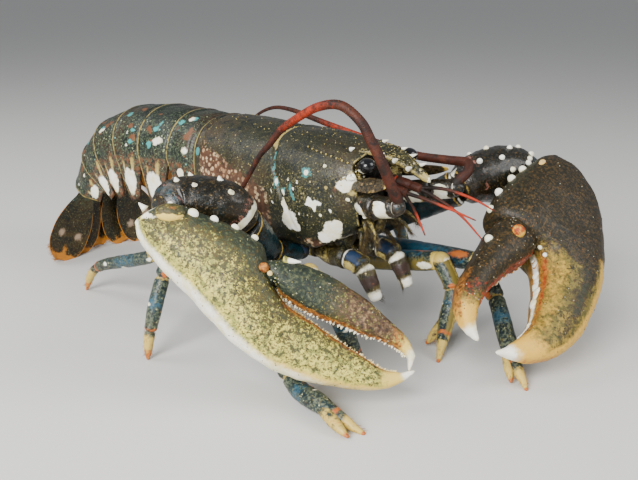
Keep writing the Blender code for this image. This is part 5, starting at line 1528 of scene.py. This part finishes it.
def makeFeelers():
    for name, side in (("right", -1), ("left", 1)):
        form = newForm()
        rows = whips["rings"] * 3
        plain = profile(whips["radii"])

        def whipRadius(v):
            if v == 1.0:
                return 0.0
            return plain(v) * (1.0 + (0.035, -0.035, 0.01)[round(v * rows) % 3])
        tube(form, whips[name], whipRadius, rows, 14,
             lambda v, u, point: {"dark": 0.75 * (1 - step(v, 0.03, 0.16)),
                                  "gold": 0.56 * hump(v, 0.48, 0.16)})
        nodes = ["antenna_%s_%d" % (name, number) for number in (1, 2, 3)]
        finishPiece("feeler_" + name, form, nodes, feelerFinish)
        form = newForm()
        places = [mirrored(place, side) for place in feelerStalk["places"]]
        stalkRadius = jointedRadius(*(feelerStalk[key]
                                      for key in ("radii", "joints", "pinch", "swell", "end")))

        def paint(v, u, point):
            low = step(-math.sin(2 * math.pi * u), -0.4, 0.5)
            wedge = 1.0 - 0.5 * math.hypot((v - 0.36) / 0.075, (point.z - 0.0795) / 0.0042)
            band = max(1.0 - 0.5 * abs(v - 0.645) / 0.066, 0.0) * step(0.0895 - point.z, 0.0, 0.002)
            return {"pale": max(wedge, band, 0.62 * hump(v, 0.775, 0.014)),
                    "cool": 0.24 + 0.20 * step(v, 0.78, 0.86),
                    "gold": 0.8 * hump(v, 0.43, 0.02) * low,
                    "warm": 0.9 * hump(v, 0.40, 0.014) * hump(point.z, 0.0850, 0.0012),
                    "dots": 0.6}
        tube(form, places, stalkRadius, 110, 44, paint, 1.0, 0.00025)
        for share, high in ((0.30, 0.0), (0.52, 0.003)):
            spot = Vector(sample(places, share * 5))
            spine(form, spot + Vector((0.002, side * 0.0050, high)), (1, side * 0.5, 0.2), 0.0042, 0.0014,
                  {"gold": 0.4}, {"pale": 1.0}, sides=8)
        for share, drop in ((0.34, -0.0058), (0.20, -0.0054)):
            spot = Vector(sample(places, share * 5)) + Vector((0, side * 0.0020, drop))
            pebble(form, spot, (0.0011, 0.0011, 0.0011), (0, 0, 1), {"pale": 1.0}, 2)
        finishPiece("feeler_stalk_" + name, form, ("antenna_base_" + name,), armFinish)
        form = newForm()
        start, end = [mirrored(place, side) for place in feelerStalk["scale"]]

        def scalePlace(v, u, start=start, end=end, side=side):
            angle = 2 * math.pi * u
            half = (feelerStalk["scaleHalf"] * (1.0 - v ** 2.4) * (0.55 + 1.3 * v) + 0.0004) * (v < 1)
            thick = feelerStalk["scaleThick"] * (1 - 0.6 * v) * (v < 1)
            crest = 0.0006 * hump(math.cos(angle), 0.0, 0.3) * (1 - v)
            aslant = Vector((0, 0.70 * half * math.cos(angle), -side * 0.72 * half * math.cos(angle)))
            return start.lerp(end, v) + aslant + Vector((0, 0, thick * bulge(math.sin(angle), 2.6) + crest))
        wrap(form, 30, 28, scalePlace,
             lambda v, u, point: {"gold": 0.34 + 0.14 * noise.noise(point / 0.0012)
                                  + 0.4 * step(v, 0.86, 0.97),
                                  "pale": step(v, 0.95, 1.0), "dots": 1.5})
        finishPiece("feeler_scale_" + name, form, ("antenna_scale_" + name,), armFinish)


# small feelers: stalk, then two flagella each side
smallFeelers = {
    "right": (((0.1385, -0.0064, 0.0884), (0.1475, -0.0085, 0.0800), (0.1560, -0.0115, 0.0700)),
              ((0.1385, -0.0064, 0.0884), (0.1500, -0.0045, 0.0865), (0.1640, -0.0020, 0.0830),
               (0.1770, 0.0010, 0.0790))),
    "left": (((0.1385, 0.0064, 0.0884), (0.1490, 0.0080, 0.0845), (0.1630, 0.0100, 0.0770),
              (0.1760, 0.0110, 0.0660)),
             ((0.1385, 0.0064, 0.0884), (0.1510, 0.0110, 0.0890), (0.1650, 0.0170, 0.0850),
              (0.1760, 0.0220, 0.0790))),
    "stalk": ((0.1150, 0.0050, 0.0900), (0.1183, 0.0052, 0.0900), (0.1280, 0.0058, 0.0900),
              (0.1410, 0.0065, 0.0880)),
    "radii": (0.0032, 0.0033, 0.0030, 0.0022), "joints": (0.35, 0.60, 0.82), "rings": 180,
}


def makeSmallFeelers():
    for name, side in (("right", -1), ("left", 1)):
        form = newForm()
        places = [mirrored(place, side) for place in smallFeelers["stalk"]]
        stalkRadius = jointedRadius(smallFeelers["radii"], smallFeelers["joints"], (0.18, 0.016),
                                    (0.06, 0.05, 0.03), 0.95)
        tube(form, places, stalkRadius, 70, 20,
             lambda v, u, point: {"dark": 0.8 * (1 - step(v, 0.5, 0.9)), "gold": 0.7 * hump(v, 0.6, 0.03)})

        def whipRadius(v):
            ring = 1.06 if round(v * smallFeelers["rings"]) % 3 else 0.94
            return (0.0009 * (1 - v) ** 0.7 + 0.00024) * ring * (v < 1)

        def whipPaint(v, u, point):
            return {"gold": 0.80 * hump(v, 0.72, 0.30), "dark": 0.6 * (1 - step(v, 0.2, 0.5))}
        for route in smallFeelers[name]:
            tube(form, route, whipRadius, smallFeelers["rings"], 10, whipPaint)
        finishPiece("small_feeler_" + name, form, ("antennule_" + name,), feelerFinish)


makeFeelers()
makeSmallFeelers()
print("feelers made")
# mouth legs and the floor of the chest between the walking legs
mouthLegs = {"places": ((0.0800, 0.0085, 0.0482), (0.0843, 0.0088, 0.0478), (0.0960, 0.0110, 0.0465),
                        (0.1080, 0.0136, 0.0485),
                        (0.1185, 0.0142, 0.0462), (0.1245, 0.0142, 0.0380), (0.1290, 0.0140, 0.0290)),
             "radii": (0.0044, 0.0046, 0.0052, 0.0056, 0.0054, 0.0046, 0.0030),
             "joints": (0.50, 0.69), "spikes": 16, "hairs": 260}
# floor of the chest: rear end, length, half width, height, waves along it, places of the hips
chest = {"start": 0.010, "long": 0.074, "half": 0.0150, "height": 0.0481, "waves": 5.2,
         "hips": (0.020, 0.034, 0.048, 0.062, 0.077)}
# thin palps curling out beside the jaws
palps = (((0.1140, 0.0090, 0.0730), (0.1195, 0.0135, 0.0700), (0.1215, 0.0150, 0.0635)),
         ((0.1135, 0.0100, 0.0680), (0.1185, 0.0150, 0.0640), (0.1195, 0.0170, 0.0575)),
         ((0.1125, 0.0080, 0.0620), (0.1165, 0.0115, 0.0590), (0.1190, 0.0130, 0.0545)),
         ((0.1150, 0.0105, 0.0745), (0.1250, 0.0160, 0.0712), (0.1310, 0.0185, 0.0660)),
         ((0.1150, 0.0080, 0.0700), (0.1240, 0.0130, 0.0665), (0.1290, 0.0150, 0.0610)))


def makeMouth():
    coat = newCoat()
    draw = random.Random(51)
    for name, side in (("right", -1), ("left", 1)):
        form = newForm()
        places = [mirrored(place, side) for place in mouthLegs["places"]]
        radiusAt = jointedRadius(mouthLegs["radii"], mouthLegs["joints"], (0.20, 0.012),
                                 (0.10, 0.035, 0.022), 0.95)

        def paint(v, u, point):
            outerSide = step(side * math.cos(2 * math.pi * u), -0.4, 0.5)
            cuff = hump(v, 0.60, 0.085)
            rim = step(abs(math.cos(2 * math.pi * u + (0.9 if side > 0 else -2.47))), 0.42, 0.86)
            return {"cool": 0.80 * cuff * (1 - rim),
                    "warm": 0.35 * step(v, 0.76, 0.84) * (1 - step(v, 0.86, 0.92)),
                    "pale": max(0.95 * hump(v, 0.715, 0.030) * (0.6 + 0.4 * outerSide),
                                0.62 * hump(v, 0.53, 0.014),
                                1.1 * step(v, 0.84, 0.97)), "dark": 0.8 * step(v, 0.74, 0.80)
                    * (1 - step(v, 0.84, 0.92)),
                    "gold": max(0.85 * cuff * rim, 0.45 * hump(v, 0.30, 0.12)), "dots": 0.6}
        tube(form, places, radiusAt, 130, 32, paint, 1.0, 0.0003)
        for index in range(mouthLegs["spikes"]):
            spot = Vector(sample(places, 1.2 + 2.0 * index / (mouthLegs["spikes"] - 1)))
            spine(form, spot + Vector((0, -side * 0.0044, 0.0)), (0.2, -side, -0.2), 0.0016, 0.0007,
                  {"gold": 0.5}, {"pale": 1.0}, sides=6, rows=4)
        for _ in range(mouthLegs["hairs"]):
            part = 2.4 + 3.4 * draw.random()
            spot = Vector(sample(places, part))
            way = (0.5, -side * draw.uniform(0.2, 0.9), -0.7 + draw.random() * 0.5)
            hair(coat, spot + Vector((0, -side * 0.0036, -0.0026 * draw.random())), way,
                 0.0022 + 0.0026 * draw.random(), 0.00012, (0.1 + 0.4 * draw.random(), part / 6))
        for route in palps:
            line = [mirrored(place, side) for place in route]
            tube(form, line, profile((0.0015, 0.0012, 0.0003)), 20, 10,
                 lambda v, u, point: {"gold": 0.25 + 0.3 * v, "dots": 0.5})
            for _ in range(mouthLegs["hairs"]):
                part = draw.uniform(0.1, 2.0)
                spot = Vector(sample(line, part))
                way = Vector((draw.uniform(0.0, 0.9), side * draw.uniform(-0.4, 0.7),
                              -draw.uniform(0.4, 1.2)))
                hair(coat, spot, way, draw.uniform(0.0030, 0.0065), 0.00013,
                     (0.55 + 0.4 * draw.random(), part / 2))
        finishPiece("mouth_leg_" + name, form, ("maxilliped_" + name,), mouthFinish)
    finishPiece("mouth_fringe", coat, (), mouthHair)
    form = newForm()

    def floorPlace(v, u):
        angle = 2 * math.pi * u
        wave = math.cos(2 * math.pi * v * chest["waves"])
        half = chest["half"] + 0.0022 * math.sin(math.pi * v) + 0.0012 * wave
        across = half * bulge(math.cos(angle), 3.4)
        height = chest["height"] + 0.0056 * bulge(math.sin(angle), 3.4)
        if math.sin(angle) < 0:
            height += 0.0012 * hump(across, 0, 0.002) + 0.0006 * wave
        return Vector((chest["start"] + chest["long"] * v, across, height))
    wrap(form, 60, 48, floorPlace,
         lambda v, u, point: {"gold": 0.3 + 0.2 * math.cos(2 * math.pi * v * chest["waves"])})
    for side in (-1, 1):
        for x in chest["hips"]:
            pebble(form, (x, side * 0.0172, 0.0482), (0.0062, 0.0062, 0.0046), (0, side, -0.15),
                   {"cool": 0.55, "gold": 0.2, "dots": 0.5}, 3)
        for x, y, z in ((0.0940, 0.0075, 0.0560), (0.1020, 0.0085, 0.0575)):
            pebble(form, (x, side * y, z), (0.0058, 0.0064, 0.0050), (0.6, side * 0.3, 0.4),
                   {"dots": 0.7, "gold": 0.2}, 3)
        pebble(form, (0.1142, side * 0.0050, 0.0645), (0.0040, 0.0046, 0.0062), (0.2, 0, 1),
               lambda local: {"gold": 0.35, "pale": 0.50 * step(-local.z, 0.3, 0.8), "dots": 0.5}, 3)
        pebble(form, (0.1148, side * 0.0080, 0.0760), (0.0034, 0.0056, 0.0032), (0, side * 0.4, 1),
               {"dots": 0.8, "gold": 0.3}, 3)
    pebble(form, (0.1160, 0.0, 0.0716), (0.0032, 0.0040, 0.0032), (0.3, 0, 1), {"gold": 0.50, "warm": 0.45},
           3)
    finishPiece("chest_floor", form, ("thorax_underside",), mouthFinish)


makeMouth()
print("mouth made")
# pale studio: floor, soft lights, and the camera where the photograph was taken from
studio = {
    "camera": (0.3842, -0.3562, 0.1934), "yaw": 40.85, "pitch": 17.04, "lens": 48.53,
    "floor": (0.66, 0.65, 0.62, 1.0), "floorSize": 60.0, "world": 0.36,
    "lights": (((0.30, -0.95, 0.55), 0.55, 24.0), ((-0.55, -0.45, 0.85), 0.60, 5.0),
               ((0.75, 0.25, 0.60), 0.50, 5.0)),
}


def makeStudio():
    bpy.ops.mesh.primitive_plane_add(size=studio["floorSize"], location=(0, 0, 0))
    floor = bpy.context.object
    floor.name = "floor"
    made, _, shader = newFinish("paleFloor")
    dial(shader, {"Base Color": studio["floor"], "Roughness": 0.8})
    floor.data.materials.append(made)
    world = bpy.context.scene.world or bpy.data.worlds.new("studio")
    bpy.context.scene.world = world
    world.use_nodes = True
    sky = world.node_tree.nodes["Background"]
    dial(sky, {"Color": (0.92, 0.95, 1.0, 1.0), "Strength": studio["world"]})
    target = Vector((0.0, 0.0, 0.06))
    for index, (place, size, power) in enumerate(studio["lights"]):
        light = bpy.data.lights.new("softLight%d" % index, "AREA")
        light.size = size
        light.energy = power
        lamp = bpy.data.objects.new("softLight%d" % index, light)
        lamp.location = place
        lamp.rotation_euler = (target - Vector(place)).to_track_quat("-Z", "Y").to_euler()
        bpy.context.scene.collection.objects.link(lamp)
    yaw, pitch = math.radians(studio["yaw"]), math.radians(studio["pitch"])
    ahead = Vector((-math.sin(yaw) * math.cos(pitch), math.cos(yaw) * math.cos(pitch), -math.sin(pitch)))
    camera = bpy.data.cameras.new("camera")
    camera.lens = studio["lens"]
    camera.sensor_fit = "HORIZONTAL"
    camera.sensor_width = 36.0
    camera.clip_start = 0.01
    eye = bpy.data.objects.new("camera", camera)
    eye.location = Vector(studio["camera"]) + shift
    eye.rotation_euler = ahead.to_track_quat("-Z", "Y").to_euler()
    bpy.context.scene.collection.objects.link(eye)
    bpy.context.scene.camera = eye


makeStudio()
print("studio made")
